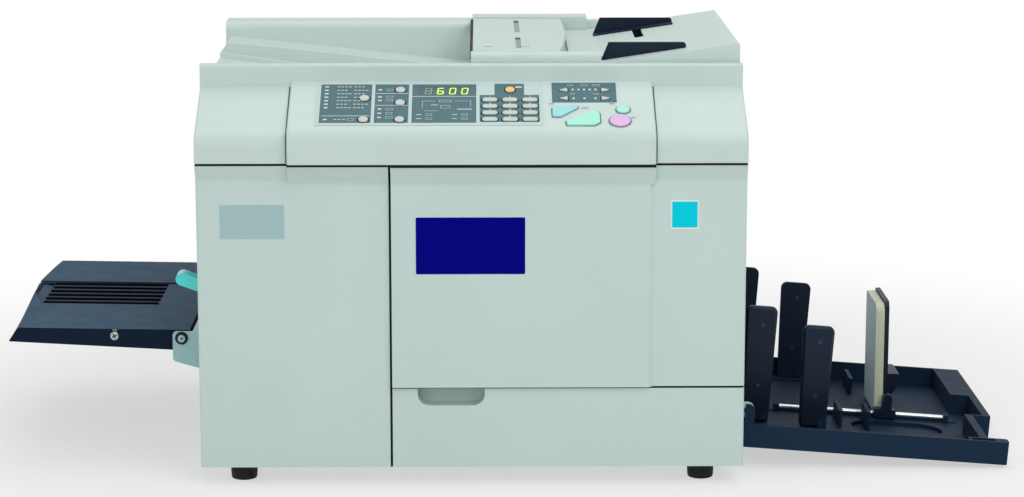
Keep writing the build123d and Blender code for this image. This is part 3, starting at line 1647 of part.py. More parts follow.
def make_everything():
    nodes = {
        "base_pan": make_base_pan(),
        "rubber_feet": make_rubber_feet(),
        "inner_frames": make_inner_frames(),
        "left_front_cover": make_left_front_cover(),
        "lower_front_panel": make_lower_front_panel(),
        "front_door": make_front_door(),
        "door_hinge_pins": make_door_hinge_pins(),
        "left_side_cover": make_left_side_cover(),
        "right_side_cover": make_right_side_cover(),
        "rear_cover": make_rear_cover(),
        "power_inlet": make_power_inlet(),
        "power_switch": make_power_switch(),
        "main_motor": make_main_motor(),
        "motor_pinion": make_motor_pinion(),
        "drum_screen": make_drum_screen(),
        "drum_flanges": make_drum_flanges(),
        "ink_cartridge": make_ink_cartridge(),
        "press_roller": make_press_roller(),
        "pickup_roller": make_pickup_roller(),
        "master_roll": make_master_roll(),
        "thermal_head": make_thermal_head(),
        "exit_conveyor": make_exit_conveyor(),
        "control_board": make_control_board(),
        "upper_casing": make_upper_casing(),
        "control_panel": make_control_panel(),
        "display_window": make_display_window(),
        "scan_glass": make_scan_glass(),
        "original_tray": make_original_tray(),
        "adf_cover": make_adf_cover(),
        "adf_roller": make_adf_roller(),
        "original_guide_front": make_original_guide(True),
        "original_guide_back": make_original_guide(False),
        "feed_lift": make_feed_lift(),
        "feed_tray": make_feed_tray(),
        "feed_lever": make_feed_lever(),
        "exit_tray": make_exit_tray(),
        "exit_rail": make_exit_rail(),
        "fence_base_front": make_fence_base(True),
        "fence_base_back": make_fence_base(False),
        "stop_carriage": make_stop_carriage(),
        "stop_plate": make_stop_plate(),
        "stop_foam": make_stop_foam(),
    }
    for side, front in (("front", True), ("back", False)):
        for place, (right, top, y) in zip(("inner", "outer"), fin_spots(front)):
            nodes[f"fin_{side}_{place}"] = make_fin(right, top, y, front)
    nodes.update(make_keys())
    return nodes


def solids_of(shape):
    """The solids of a node, which may be one shape or a list of them."""
    pieces = shape if isinstance(shape, list) else [shape]
    return [solid for piece in pieces for solid in piece.solids()]


def origin_shift(nodes):
    """The move that puts the origin on the floor under the middle of everything."""
    box = Compound(children=[Compound(solids_of(shape)) for shape in nodes.values()]).bounding_box()
    return Pos(-(box.min.X + box.max.X) / 2, -(box.min.Y + box.max.Y) / 2, -box.min.Z)


def main():
    os.makedirs("parts", exist_ok=True)
    nodes = make_everything()
    shift = origin_shift(nodes)
    print("origin moved by", shift.position)
    for name, shape in nodes.items():
        export_step(shift * Compound(solids_of(shape)), f"parts/{name}.step")


main()
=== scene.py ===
import json
import math

import bmesh
import bpy
from bpy.props import FloatProperty, FloatVectorProperty, PointerProperty
from bpy.types import Operator, Panel, PropertyGroup
from mathutils import Matrix, Vector
from mathutils.geometry import convex_hull_2d


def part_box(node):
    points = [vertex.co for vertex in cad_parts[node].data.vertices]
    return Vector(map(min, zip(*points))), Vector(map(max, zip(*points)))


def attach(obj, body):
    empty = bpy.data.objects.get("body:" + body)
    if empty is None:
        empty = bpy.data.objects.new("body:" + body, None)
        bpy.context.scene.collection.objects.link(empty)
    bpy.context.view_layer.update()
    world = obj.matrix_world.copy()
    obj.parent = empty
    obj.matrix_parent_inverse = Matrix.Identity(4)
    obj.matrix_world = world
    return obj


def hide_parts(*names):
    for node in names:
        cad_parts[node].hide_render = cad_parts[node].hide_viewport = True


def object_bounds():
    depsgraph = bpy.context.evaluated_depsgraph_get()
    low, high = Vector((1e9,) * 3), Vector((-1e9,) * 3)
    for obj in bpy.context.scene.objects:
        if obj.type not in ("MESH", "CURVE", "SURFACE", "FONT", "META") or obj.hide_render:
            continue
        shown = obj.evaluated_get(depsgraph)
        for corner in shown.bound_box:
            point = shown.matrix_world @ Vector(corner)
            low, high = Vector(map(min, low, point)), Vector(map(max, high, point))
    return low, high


bl_info = {
    "name": "Digital duplicator",
    "version": (1, 0, 0),
    "blender": (4, 5, 0),
    "location": "View3D > Sidebar > Duplicator",
    "description": "Dresses a compact digital duplicator in moulded plastic, print, metal and foam",
    "category": "Object",
}

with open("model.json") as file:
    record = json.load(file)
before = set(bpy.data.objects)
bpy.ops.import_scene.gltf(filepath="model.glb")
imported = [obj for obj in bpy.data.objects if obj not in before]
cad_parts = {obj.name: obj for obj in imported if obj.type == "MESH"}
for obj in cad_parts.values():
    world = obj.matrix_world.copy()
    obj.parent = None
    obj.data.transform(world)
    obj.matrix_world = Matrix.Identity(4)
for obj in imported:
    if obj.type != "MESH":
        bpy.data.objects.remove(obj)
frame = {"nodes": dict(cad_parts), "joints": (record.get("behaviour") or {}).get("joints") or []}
cad_low, cad_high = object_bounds()
NODES = frame["nodes"]
JOINTS = {joint["name"]: joint for joint in frame["joints"]}

# The machine's own reference: the middle of its base, its front face and the floor
PAN_LOW, PAN_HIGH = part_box("base_pan")
CENTRE_X = (PAN_LOW.x + PAN_HIGH.x) / 2
FRONT_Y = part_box("lower_front_panel")[0].y

MM = 0.001

# Points closer than this are one point, in metres
WELD = 0.000002


def at(x, y, z):
    """A point given in millimetres from the machine's middle, its front face and the floor."""
    return Vector((CENTRE_X + x * MM, FRONT_Y + y * MM, z * MM))


# The control panel's slope: across, up the slope and out of it, from the keys' own travel
SLOPE_OUT = -Vector(JOINTS["key_stop_press"]["axis"])
SLOPE_UP = Vector((0, SLOPE_OUT.z, -SLOPE_OUT.y))
PLATE_FOOT = 15.6
plate_points = [v.co for v in NODES["control_panel"].data.vertices]
PLATE_LOW = min(p.dot(SLOPE_UP) for p in plate_points)
PLATE_FACE = max(p.dot(SLOPE_OUT) for p in plate_points)


def up_slope(s):
    """The distance up the slope of a height given in millimetres on the control panel."""
    return PLATE_LOW + (s - PLATE_FOOT) * MM


def panel_matrix(x, s, lift=0.0):
    """A frame on the control panel: X across, Y up the slope and Z out of it."""
    out = PLATE_FACE + lift * MM
    origin = Vector((CENTRE_X + x * MM, 0, 0)) + SLOPE_UP * up_slope(s) + SLOPE_OUT * out
    turn = Matrix((Vector((1, 0, 0)), SLOPE_UP, SLOPE_OUT)).transposed().to_4x4()
    return Matrix.Translation(origin) @ turn


def linear(colour):
    """A displayed colour as the light values that the shaders use."""
    return [c / 12.92 if c <= 0.04045 else ((c + 0.055) / 1.055) ** 2.4 for c in colour]


def shade(red, green, blue):
    """A displayed colour from three values up to 255."""
    return (red / 255, green / 255, blue / 255)


def colour_property(name, description, *default):
    return FloatVectorProperty(
        name=name, description=description, default=shade(*default), subtype="COLOR_GAMMA", min=0, max=1
    )


def size_property(name, description, default):
    return FloatProperty(name=name, description=description, default=default, unit="LENGTH")


class DuplicatorColours(PropertyGroup):
    casing: colour_property("Casing", "Covers of the lower machine", 198, 217, 212)
    upper: colour_property("Upper casing", "Scanner unit and feeder", 200, 217, 212)
    overlay: colour_property("Panel sheet", "Pale sheet of the control panel", 194, 214, 210)
    print_dark: colour_property("Panel blocks", "Dark printed blocks", 81, 115, 122)
    feed_side: colour_property("Feed tray", "Sides of the feed tray", 11, 19, 40)
    # Painted sheen: the paler colour of the feed tray's upward faces
    feed_top: colour_property("Feed tray top", "Sheened top of the feed tray", 37, 69, 94)
    tray_blue: colour_property("Exit tray", "Dark moulded exit tray", 24, 39, 62)
    # Painted sheen: the paler colour of the exit tray's upward faces
    tray_floor_sheen: colour_property("Exit tray floor", "Sheened floor of the exit tray", 20, 34, 54)
    fin_dark: colour_property("Fins", "Dark fins and stop plate", 20, 30, 48)
    bracket: colour_property("Bracket", "Painted steel of the feed bracket", 158, 200, 199)
    lever: colour_property("Lever", "Translucent lever", 72, 228, 224)
    key_pale: colour_property("Pale keys", "Number and select keys", 190, 201, 193)
    key_amber: colour_property("Amber key", "Wake key", 240, 196, 110)
    key_blue: colour_property("Blue key", "Master key", 146, 218, 218)
    key_green: colour_property("Green keys", "Start and test keys", 160, 234, 212)
    key_pink: colour_property("Pink key", "Stop key", 222, 178, 226)
    plate_navy: colour_property("Front plate", "Bare plate on the door", 4, 3, 128)
    plate_grey: colour_property("Left plate", "Bare plate on the left cover", 166, 196, 196)
    plate_cyan: colour_property("Small plate", "Bare square plate on the door", 10, 208, 226)
    foam: colour_property("Foam", "Open foam of the end stop", 216, 224, 190)
    pad_sheet: colour_property("Pad sheet", "Thin sheet on the foam's face", 224, 240, 244)


class DuplicatorSizes(PropertyGroup):
    plate_thickness: size_property("Plate thickness", "Thickness of the stuck-on plates", 0.0004)
    print_thickness: size_property("Print thickness", "Thickness of printed marks", 0.00006)
    foot_lip: size_property("Foot edge", "Rounding of the feet's edges", 0.002)
    foam_round: size_property("Foam rounding", "Rounding of the foam's edges", 0.0012)


# Material building


def fill(tree, node, values):
    """Gives each named or numbered input of a node a value or a link."""
    for name, value in values.items():
        if isinstance(value, bpy.types.NodeSocket):
            tree.links.new(value, node.inputs[name])
        else:
            node.inputs[name].default_value = value


def add_node(tree, kind, values=None, **settings):
    """A shader node with its settings and inputs."""
    node = tree.nodes.new("ShaderNode" + kind)
    for name, value in settings.items():
        setattr(node, name, value)
    fill(tree, node, values or {})
    return node


def math_node(tree, operation, first, second):
    return add_node(tree, "Math", {0: first, 1: second}, operation=operation).outputs["Value"]


def new_material(name):
    material = bpy.data.materials.new(name)
    material.use_nodes = True
    tree = material.node_tree
    return material, tree, tree.nodes["Principled BSDF"]


def coordinates(tree, kind="Object"):
    return add_node(tree, "TexCoord").outputs[kind]


def noise(tree, scale, detail=2.0, stretch=None):
    """Noise on the object's own coordinates, with so many features to a metre."""
    place = coordinates(tree)
    if stretch:
        place = add_node(tree, "Mapping", {"Vector": place, "Scale": stretch}).outputs["Vector"]
    return add_node(tree, "TexNoise", {"Vector": place, "Scale": scale, "Detail": detail}).outputs["Fac"]


def ranged(tree, value, low, high):
    """A texture value spread over a range."""
    limits = {"Value": value, "From Min": 0.3, "From Max": 0.7, "To Min": low, "To Max": high}
    return add_node(tree, "MapRange", limits).outputs["Result"]


def mixed(tree, factor, first, second):
    """One colour or the other by a factor. Each is a colour or a socket."""
    ends = [end if isinstance(end, bpy.types.NodeSocket) else (*end, 1) for end in (first, second)]
    values = {"A": ends[0], "B": ends[1], "Factor": factor}
    return add_node(tree, "Mix", values, data_type="RGBA").outputs["Result"]


def scaled(colour, factor):
    return [min(1.0, c * factor) for c in colour]


def toned(tree, factor, colour, low, high):
    """A displayed colour that goes from one share of its light to another by a factor."""
    base = linear(colour)
    return mixed(tree, factor, scaled(base, low), scaled(base, high))


def bump(tree, shader, height, strength, distance):
    node = add_node(tree, "Bump", {"Height": height, "Strength": strength, "Distance": distance})
    fill(tree, shader, {"Normal": node.outputs["Normal"]})


def moulded(name, colour, roughness, grain=900.0, relief=0.25, variation=0.05, specular=0.5):
    """Moulded plastic: a fine spark-eroded grain, and slow shade changes over the part."""
    material, tree, shader = new_material(name)
    fill(tree, shader, {
        "Base Color": toned(tree, noise(tree, 7.0, 3.0), colour, 1 - variation, 1 + variation),
        "Roughness": ranged(tree, noise(tree, 38.0, 4.0), roughness - 0.04, roughness + 0.04),
        "Specular IOR Level": specular,
    })
    bump(tree, shader, noise(tree, grain), relief, 0.00006)
    return material


def painted_top_sheen(material, side, top):
    """Gives a dark plastic a paler, streaked tone where it faces up: painted sheen of the light that its
    tops reflect.
    """
    tree = material.node_tree
    normal = add_node(tree, "SeparateXYZ", {"Vector": coordinates(tree, "Normal")})
    upward = ranged(tree, normal.outputs["Z"], 0.0, 1.0)
    pale = toned(tree, noise(tree, 260.0, 3.0, (0.12, 1.0, 1.0)), top, 0.86, 1.14)
    fill(tree, tree.nodes["Principled BSDF"], {"Base Color": mixed(tree, upward, linear(side), pale)})


def tinge(material, colour):
    """Gives a dark plastic's sheen a colour of its own."""
    tree = material.node_tree
    fill(tree, tree.nodes["Principled BSDF"], {"Specular Tint": (*colour, 1)})


def surfaced(name, colour, texture, tones, roughness, relief=None, levels=None):
    """A material whose tone follows a noise, as does its roughness where that is a range.

    A texture is a noise's scale, detail and stretch. A relief is a texture of its own, or none to share
    the first one, with its strength and its depth.
    """
    material, tree, shader = new_material(name)
    shared = noise(tree, *texture)
    if isinstance(roughness, tuple):
        roughness = ranged(tree, shared, *roughness)
    fill(tree, shader, {"Base Color": toned(tree, shared, colour, *tones), "Roughness": roughness})
    fill(tree, shader, levels or {})
    if relief:
        own, strength, depth = relief
        bump(tree, shader, noise(tree, *own) if own else shared, strength, depth)
    return material


def brushed(name, colour, roughness, stretch=(1.0, 1.0, 1.0)):
    """Metal with drawn lines across it."""
    lines = (420.0, 3.0, stretch)
    shine = (roughness - 0.07, roughness + 0.1)
    return surfaced(name, colour, lines, (0.82, 1.0), shine, (None, 0.15, 0.00004), {"Metallic": 1.0})


def painted(name, colour, roughness):
    """Baked paint on sheet steel, with a slight orange peel."""
    peel = ((260.0,), 0.12, 0.00008)
    return surfaced(name, colour, (11.0,), (0.95, 1.05), roughness, peel, {"Coat Weight": 0.25})


def rubbery(name, colour):
    """Dull rubber with a dusty bloom."""
    skin = ((700.0,), 0.3, 0.00008)
    dull = {"Specular IOR Level": 0.3}
    return surfaced(name, colour, (60.0, 5.0), (1.0, 1.6), (0.62, 0.82), skin, dull)


def translucent(name, colour):
    """Tinted clear plastic that glows a little where it is thin."""
    levels = {"Subsurface Weight": 0.35, "Subsurface Radius": (0.004, 0.006, 0.006), "Coat Weight": 0.3}
    return surfaced(name, colour, (30.0,), (0.9, 1.1), 0.28, levels=levels)


def glassy(name, colour, roughness):
    """A clear glossy window with a faint smear."""
    levels = {"Coat Weight": 0.3, "Coat Roughness": 0.08}
    shine = (roughness, roughness + 0.05)
    return surfaced(name, colour, (24.0, 4.0), (1.0, 1.12), shine, levels=levels)


def wound_film(name, colour):
    """Thin film wound on a core: fine rings across its ends and lines along it."""
    rings = (500.0, 2.0, (1.0, 0.03, 1.0))
    return surfaced(name, colour, rings, (0.88, 1.0), 0.35, (None, 0.2, 0.00005), {"Coat Weight": 0.3})


def glowing(name, colour, strength):
    """A lit segment, with a slight ripple."""
    material, tree, shader = new_material(name)
    tone = toned(tree, noise(tree, 300.0, 1.0), colour, 0.85, 1.0)
    fill(tree, shader, {
        "Base Color": tone, "Emission Color": tone, "Emission Strength": strength, "Roughness": 0.4,
    })
    return material


def foamy(name, colour):
    """Open-cell foam."""
    material, tree, shader = new_material(name)
    cells = add_node(tree, "TexVoronoi", {"Vector": coordinates(tree), "Scale": 900.0})
    # Painted shade: each cell is darker towards its middle, where the bump sinks it into a pore
    depth = cells.outputs["Distance"]
    pale = toned(tree, noise(tree, 40.0, 4.0), colour, 0.9, 1.06)
    tone = mixed(tree, depth, scaled(linear(colour), 0.72), pale)
    fill(tree, shader, {"Base Color": tone, "Roughness": 0.95, "Sheen Weight": 0.25})
    bump(tree, shader, depth, 0.5, 0.0004)
    return material


def circuit_board(name, colour):
    """Green board with paler tracks."""
    material, tree, shader = new_material(name)
    base = linear(colour)
    turned = add_node(tree, "Mapping", {"Vector": coordinates(tree), "Rotation": (math.pi / 2, 0, 0)})
    tracks = add_node(tree, "TexBrick", {
        "Vector": turned.outputs["Vector"],
        "Scale": 60.0,
        "Mortar Size": 0.03,
        "Color1": (*base, 1),
        "Color2": (*scaled(base, 1.3), 1),
        "Mortar": (*scaled(base, 2.2), 1),
    })
    fill(tree, shader, {"Base Color": tracks.outputs["Color"], "Roughness": 0.35})
    return material


def perforated_screen(name, colour):
    """The drum's stainless screen with its fine holes."""
    material, tree, shader = new_material(name)
    holes = add_node(tree, "TexVoronoi", {"Vector": coordinates(tree), "Scale": 420.0, "Randomness": 0.0})
    edge = ranged(tree, holes.outputs["Distance"], 0.0, 1.0)
    tone = toned(tree, edge, colour, 0.25, 1.0)
    fill(tree, shader, {"Base Color": tone, "Metallic": 0.9, "Roughness": 0.4})
    bump(tree, shader, edge, 0.4, 0.0001)
    return material


def in_rectangle(tree, across, up, x0, x1, s0, s1):
    """One inside a rectangle of the control panel, and nought outside it."""
    inside = math_node(tree, "GREATER_THAN", across, x0)
    for test in (("LESS_THAN", across, x1), ("GREATER_THAN", up, s0), ("LESS_THAN", up, s1)):
        inside = math_node(tree, "MULTIPLY", inside, math_node(tree, *test))
    return inside


# The dark blocks of the control panel, as left, right, low and high in millimetres on the slope
PRINT_BLOCKS = (
    (-179.0, -118.3, 20.5, 103.3),
    (-114.5, -74.4, 20.5, 103.3),
    (-70.4, 5.6, 20.5, 103.3),
    (9.6, 80.2, 22.0, 80.0),
    (27.3, 62.5, 80.0, 104.2),
    (95.0, 172.6, 64.0, 107.0),
)


def printed_sheet(name, pale, dark):
    """The control panel's sheet: pale, with dark blocks printed on its slope."""
    material, tree, shader = new_material(name)
    place = coordinates(tree)
    across = add_node(tree, "SeparateXYZ", {"Vector": place}).outputs["X"]
    up = add_node(tree, "VectorMath", {0: place, 1: SLOPE_UP}, operation="DOT_PRODUCT").outputs["Value"]
    printed = 0.0
    for x0, x1, s0, s1 in PRINT_BLOCKS:
        limits = (CENTRE_X + x0 * MM, CENTRE_X + x1 * MM, up_slope(s0), up_slope(s1))
        printed = math_node(tree, "MAXIMUM", in_rectangle(tree, across, up, *limits), printed)
    broad = noise(tree, 9.0)
    light = toned(tree, broad, pale, 0.97, 1.03)
    ink = toned(tree, broad, dark, 0.94, 1.06)
    fill(tree, shader, {
        "Base Color": mixed(tree, printed, light, ink), "Roughness": 0.55, "Specular IOR Level": 0.22,
    })
    bump(tree, shader, noise(tree, 1200.0), 0.12, 0.00004)
    return material


# Piece building


def meshed(name, shape, material):
    """Turns a bmesh into a mesh of one material."""
    mesh = bpy.data.meshes.new(name)
    shape.to_mesh(mesh)
    shape.free()
    mesh.materials.append(material)
    return mesh


def linked(name, data):
    """An object of the scene with some data."""
    made = bpy.data.objects.new(name, data)
    bpy.context.scene.collection.objects.link(made)
    return made


def finished(name, shape, body, material, smooth=False):
    """Turns a bmesh into a piece that rides on a body and takes a material."""
    bmesh.ops.remove_doubles(shape, verts=shape.verts, dist=WELD)
    bmesh.ops.recalc_face_normals(shape, faces=shape.faces)
    mesh = meshed(name, shape, material)
    if smooth:
        mesh.polygons.foreach_set("use_smooth", [True] * len(mesh.polygons))
        mesh.set_sharp_from_angle(angle=math.radians(38))
    piece = linked(name, mesh)
    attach(piece, body)
    return piece


def points_in(made):
    """The points among what a mesh operator made."""
    return [item for item in made if isinstance(item, bmesh.types.BMVert)]


def joined_verts(verts):
    """Some points and all that edges join to them, in the same order at each run."""
    found = dict.fromkeys(verts)
    stack = list(found)
    while stack:
        for edge in stack.pop().link_edges:
            for vert in edge.verts:
                if vert not in found:
                    found[vert] = None
                    stack.append(vert)
    return list(found)


def bevelled(shape, edges, offset, segments):
    """Rounds some edges of a shape."""
    return bmesh.ops.bevel(
        shape, geom=edges, offset=offset, affect="EDGES", segments=segments, profile=0.5, material=-1
    )


def add_box(shape, matrix, width, height, thickness, round_by=0.0, segments=3):
    """A flat plate on a frame's XY plane, standing up from it, with rounded corners if asked."""
    made = bmesh.ops.create_cube(shape, size=1.0)["verts"]
    bmesh.ops.scale(shape, vec=(width, height, thickness), verts=made)
    bmesh.ops.translate(shape, vec=(0, 0, thickness / 2), verts=made)
    if round_by:
        upright = [
            e for e in dict.fromkeys(e for v in made for e in v.link_edges)
            if abs((e.verts[0].co - e.verts[1].co).normalized().z) > 0.9
        ]
        rounded = bevelled(shape, upright, round_by, segments)["faces"]
        made = [v for v in made if v.is_valid] + [v for f in rounded for v in f.verts]
        made = list(dict.fromkeys(made))
    bmesh.ops.transform(shape, matrix=matrix, verts=made)


def boxed(name, boxes, body, material):
    """A piece made of flat plates, each as add_box takes it."""
    shape = bmesh.new()
    for box in boxes:
        add_box(shape, *box)
    finished(name, shape, body, material)


def add_ring_profile(shape, matrix, profile, steps=32):
    """A turned shape about a frame's Z axis, from (radius, height) points."""
    points = [shape.verts.new((radius, 0, height)) for radius, height in profile]
    edges = [shape.edges.new(pair) for pair in zip(points, points[1:])]
    spun = bmesh.ops.spin(
        shape, geom=points + edges, cent=(0, 0, 0), axis=(0, 0, 1), angle=2 * math.pi, steps=steps,
        use_merge=True,
    )
    made = points + points_in(spun["geom_last"])
    turned = joined_verts([vert for vert in made if vert.is_valid])
    bmesh.ops.transform(shape, matrix=matrix, verts=turned)


def facing(point, direction):
    """A frame at a point whose Z axis looks along a direction."""
    turn = Vector(direction).to_track_quat("Z", "Y").to_matrix().to_4x4()
    return Matrix.Translation(point) @ turn


def front_frame(x, z, y):
    """A frame on the machine's front: X to the right, Y up and Z towards the viewer."""
    turn = Matrix(((1, 0, 0), (0, 0, -1), (0, 1, 0))).to_4x4()
    return Matrix.Translation(at(x, y, z)) @ turn


def colours():
    return bpy.context.scene.duplicator_colours


def sizes():
    return bpy.context.scene.duplicator_sizes


NUMBER_KEYS = ("key_numbers_1", "key_numbers_2", "key_numbers_3")
SELECT_KEYS = tuple(f"key_select_{number}" for number in range(1, 6))
FINS = ("fin_front_inner", "fin_front_outer", "fin_back_inner", "fin_back_outer")
OUT_FRONT = (0, -1, 0)
OUT_BACK = (0, 1, 0)


class DUPLICATOR_OT_finishes(Operator):
    """Gives every carried-over part its finish"""

    bl_idname = "duplicator.finishes"
    bl_label = "Finishes"

    def execute(self, context):
        c = colours()
        feed = moulded("feed_tray_plastic", c.feed_side, 0.6, grain=700.0, relief=0.3, specular=0.25)
        # Painted sheen: the trays' upward faces are paler than their sides
        painted_top_sheen(feed, c.feed_side, c.feed_top)
        tray = moulded("exit_tray_plastic", c.tray_blue, 0.6, grain=700.0, relief=0.3, specular=0.25)
        painted_top_sheen(tray, c.tray_blue, c.tray_floor_sheen)
        for dark in (feed, tray):
            tinge(dark, (0.4, 0.75, 1.0))
        fins = moulded(
            "fin_plastic", c.fin_dark, 0.42, grain=700.0, relief=0.35, variation=0.08, specular=0.35
        )
        tinge(fins, (0.6, 0.8, 1.0))
        black = moulded("black_plastic", shade(16, 18, 24), 0.45, relief=0.2, variation=0.1, specular=0.3)
        display = moulded(
            "display_glass", shade(66, 98, 98), 0.3, relief=0.02, variation=0.03, specular=0.25
        )
        lengthwise = (1.0, 0.04, 1.0)
        table = [
            (moulded("casing_plastic", c.casing, 0.5), (
                "left_front_cover", "lower_front_panel", "left_side_cover", "right_side_cover",
                "rear_cover", "front_door",
            )),
            (moulded("upper_plastic", c.upper, 0.48), ("upper_casing", "original_tray", "adf_cover")),
            (feed, ("feed_tray",)),
            (tray, ("exit_tray", "fence_base_front", "fence_base_back")),
            (fins, FINS + ("stop_plate", "original_guide_front", "original_guide_back", "stop_carriage")),
            (black, ("power_inlet", "power_switch", "exit_conveyor", "drum_flanges", "ink_cartridge")),
            (brushed("zinc_sheet", shade(176, 182, 186), 0.38, (1.0, 1.0, 0.05)), (
                "base_pan", "inner_frames", "door_hinge_pins",
            )),
            (brushed("ground_steel", shade(200, 204, 208), 0.24, lengthwise), (
                "main_motor", "motor_pinion",
            )),
            (brushed("rail_steel", shade(214, 222, 224), 0.3, (0.01, 1.0, 1.0)), ("exit_rail",)),
            (brushed("heat_sink", shade(190, 194, 198), 0.35, lengthwise), ("thermal_head",)),
            (printed_sheet("panel_sheet", c.overlay, c.print_dark), ("control_panel",)),
            (display, ("display_window",)),
            (glassy("scanner_glass", shade(150, 172, 170), 0.03), ("scan_glass",)),
            (painted("bracket_paint", c.bracket, 0.42), ("feed_lift",)),
            (translucent("lever_plastic", c.lever), ("feed_lever",)),
            (rubbery("roller_rubber", shade(66, 66, 68)), ("adf_roller", "pickup_roller", "press_roller")),
            (wound_film("master_film", shade(222, 220, 208)), ("master_roll",)),
            (circuit_board("board_green", shade(28, 92, 58)), ("control_board",)),
            (perforated_screen("drum_screen_steel", shade(170, 174, 178)), ("drum_screen",)),
        ]
        for name, colour, roughness, variation, nodes in (
            ("pale", c.key_pale, 0.3, 0.02, NUMBER_KEYS + SELECT_KEYS + ("key_arrows",)),
            ("amber", c.key_amber, 0.3, 0.03, ("key_wake",)),
            ("blue", c.key_blue, 0.32, 0.03, ("key_master",)),
            ("green", c.key_green, 0.32, 0.03, ("key_start", "key_test")),
            ("pink", c.key_pink, 0.32, 0.03, ("key_stop",)),
        ):
            plastic = moulded(name + "_key_plastic", colour, roughness, relief=0.05, variation=variation)
            table.append((plastic, nodes))
        for material, names in table:
            for name in names:
                for slot in NODES[name].material_slots:
                    slot.material = material
        return {"FINISHED"}


class DUPLICATOR_OT_feet(Operator):
    """Turns the four rubber feet, with a rounded rim and a moulded ring"""

    bl_idname = "duplicator.feet"
    bl_label = "Feet"

    def execute(self, context):
        low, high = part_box("rubber_feet")
        top = high.z - low.z
        radius = 0.0175
        ground = 0.0155
        lip = sizes().foot_lip
        profile = (
            (0.0, 0.0005), (ground - lip, 0.0), (ground - 0.4 * lip, 0.25 * lip), (ground, lip),
            (ground + 0.0006, 0.45 * top), (radius - 0.0016, 0.55 * top), (radius - 0.0008, 0.6 * top),
            (radius, 0.68 * top), (radius, top - lip), (radius - 0.3 * lip, top - 0.3 * lip),
            (radius - lip, top), (0.0, top),
        )
        # The feet stand in the corners of the node's own box
        shape = bmesh.new()
        for x in (low.x + radius, high.x - radius):
            for y in (low.y + radius, high.y - radius):
                add_ring_profile(shape, Matrix.Translation((x, y, low.z)), profile, 48)
        feet = finished("feet", shape, "machine", rubbery("foot_rubber", shade(24, 24, 25)), True)
        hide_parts("rubber_feet")
        return {"FINISHED"}


def print_ink(name, colour):
    return moulded(name, colour, 0.5, relief=0.05, variation=0.03)


# Printed marks of the control panel: generic bars, boxes and lamps, in millimetres on the slope
LEFT_LAMP_X = -172.0
LEFT_LAMP_ROWS = (98.0, 90.5, 83.0, 75.5, 68.0, 60.5, 53.0)
LEFT_BAR_X = (-158.0, -138.0)
LAST_ROW = 27.9
MIDDLE_LAMP_X = -108.5
MIDDLE_LAMP_ROWS = (91.4, 76.0, 68.5, 50.0, 41.0, 32.0)
LAMP = (4.6, 2.6)
SIDE_LAMP = (2.6, 3.4)
MARKS = (
    # Dividing lines, as place and size
    (-148.6, 35.5, 56.0, 1.0), (-94.4, 83.5, 38.0, 1.0), (-94.4, 58.0, 38.0, 1.0), (-32.4, 77.0, 76.0, 1.0),
    # A small flow picture of the machine, with a path between its boxes
    (-50.5, 67.0, 15.0, 0.5), (-10.0, 67.0, 19.0, 0.5), (-58.0, 59.5, 0.5, 15.0), (-1.0, 61.0, 0.5, 11.0),
    (-44.0, 58.5, 8.0, 1.2), (-8.0, 49.5, 18.0, 1.6), (-48.0, 46.0, 16.0, 0.5),
    (56.0, 97.0, 7.5, 3.0),
    *((x, 91.5, *SIDE_LAMP) for x in (120.4, 127.4, 134.0, 140.8, 147.6)),
    *((x, 72.4, *SIDE_LAMP) for x in (121.0, 134.0, 147.0)),
)
OUTLINES = (
    (-142.0, LAST_ROW, 7.5, 4.0, 0.4), (-31.0, 67.0, 14.0, 4.0, 0.5), (-31.0, 54.5, 11.0, 6.0, 0.5),
    *((x, 101.0, width, 2.6, 0.4) for x, width in ((118.0, 7.0), (134.0, 8.0), (148.5, 9.0))),
    *((x, 82.0, width, 2.4, 0.4) for x, width in ((120.0, 5.0), (148.0, 6.0))),
)
KEY_LEGENDS = ((94.5, 61.5, 7.0), (134.0, 52.5, 8.0), (166.0, 61.5, 6.0), (190.5, 31.5, 5.0))


class DUPLICATOR_OT_panel_print(Operator):
    """Prints lamps, bars and outlines on the control panel's dark blocks"""

    bl_idname = "duplicator.panel_print"
    bl_label = "Panel print"

    def execute(self, context):
        thick = sizes().print_thickness
        marks = []

        def mark(x, s, width, height):
            marks.append((panel_matrix(x, s), width * MM, height * MM, thick))

        def outline(x, s, width, height, line):
            for side in (-1, 1):
                mark(x, s + side * height / 2, width + line, line)
                mark(x + side * width / 2, s, line, height)

        for index, row in enumerate(LEFT_LAMP_ROWS):
            mark(LEFT_LAMP_X, row, *LAMP)
            for bar, start in enumerate(LEFT_BAR_X):
                for step in range(4 - (index + bar) % 2):
                    mark(start + step * 4.6, row, 3.2, 1.3)
        mark(LEFT_LAMP_X, LAST_ROW, *LAMP)
        for step in range(3):
            mark(-160.0 + step * 5.0, LAST_ROW, 3.4, 1.3)
        for index, row in enumerate(MIDDLE_LAMP_ROWS):
            mark(MIDDLE_LAMP_X, row, *LAMP)
            outline(MIDDLE_LAMP_X + 11.5, row, 7.0 + index % 2, 3.6, 0.4)
        for x in (-62.0, -20.0):
            for s in (38.0, 29.5):
                mark(x, s, 6.0, 1.2)
                outline(x + 12.0, s, 7.0, 3.6, 0.4)
        for place in MARKS:
            mark(*place)
        for place in OUTLINES:
            outline(*place)
        ink = print_ink("pale_print", shade(206, 216, 214))
        boxed("panel_marks", marks, "scanner_unit", ink)

        # Small grey marks beside the coloured keys
        legends = [
            (panel_matrix(x + step * width / 3, s), width / 4.5 * MM, 2.2 * MM, thick)
            for x, s, width in KEY_LEGENDS for step in (-1, 0, 1)
        ]
        grey = print_ink("grey_print", shade(150, 164, 172))
        boxed("key_legends", legends, "scanner_unit", grey)
        return {"FINISHED"}


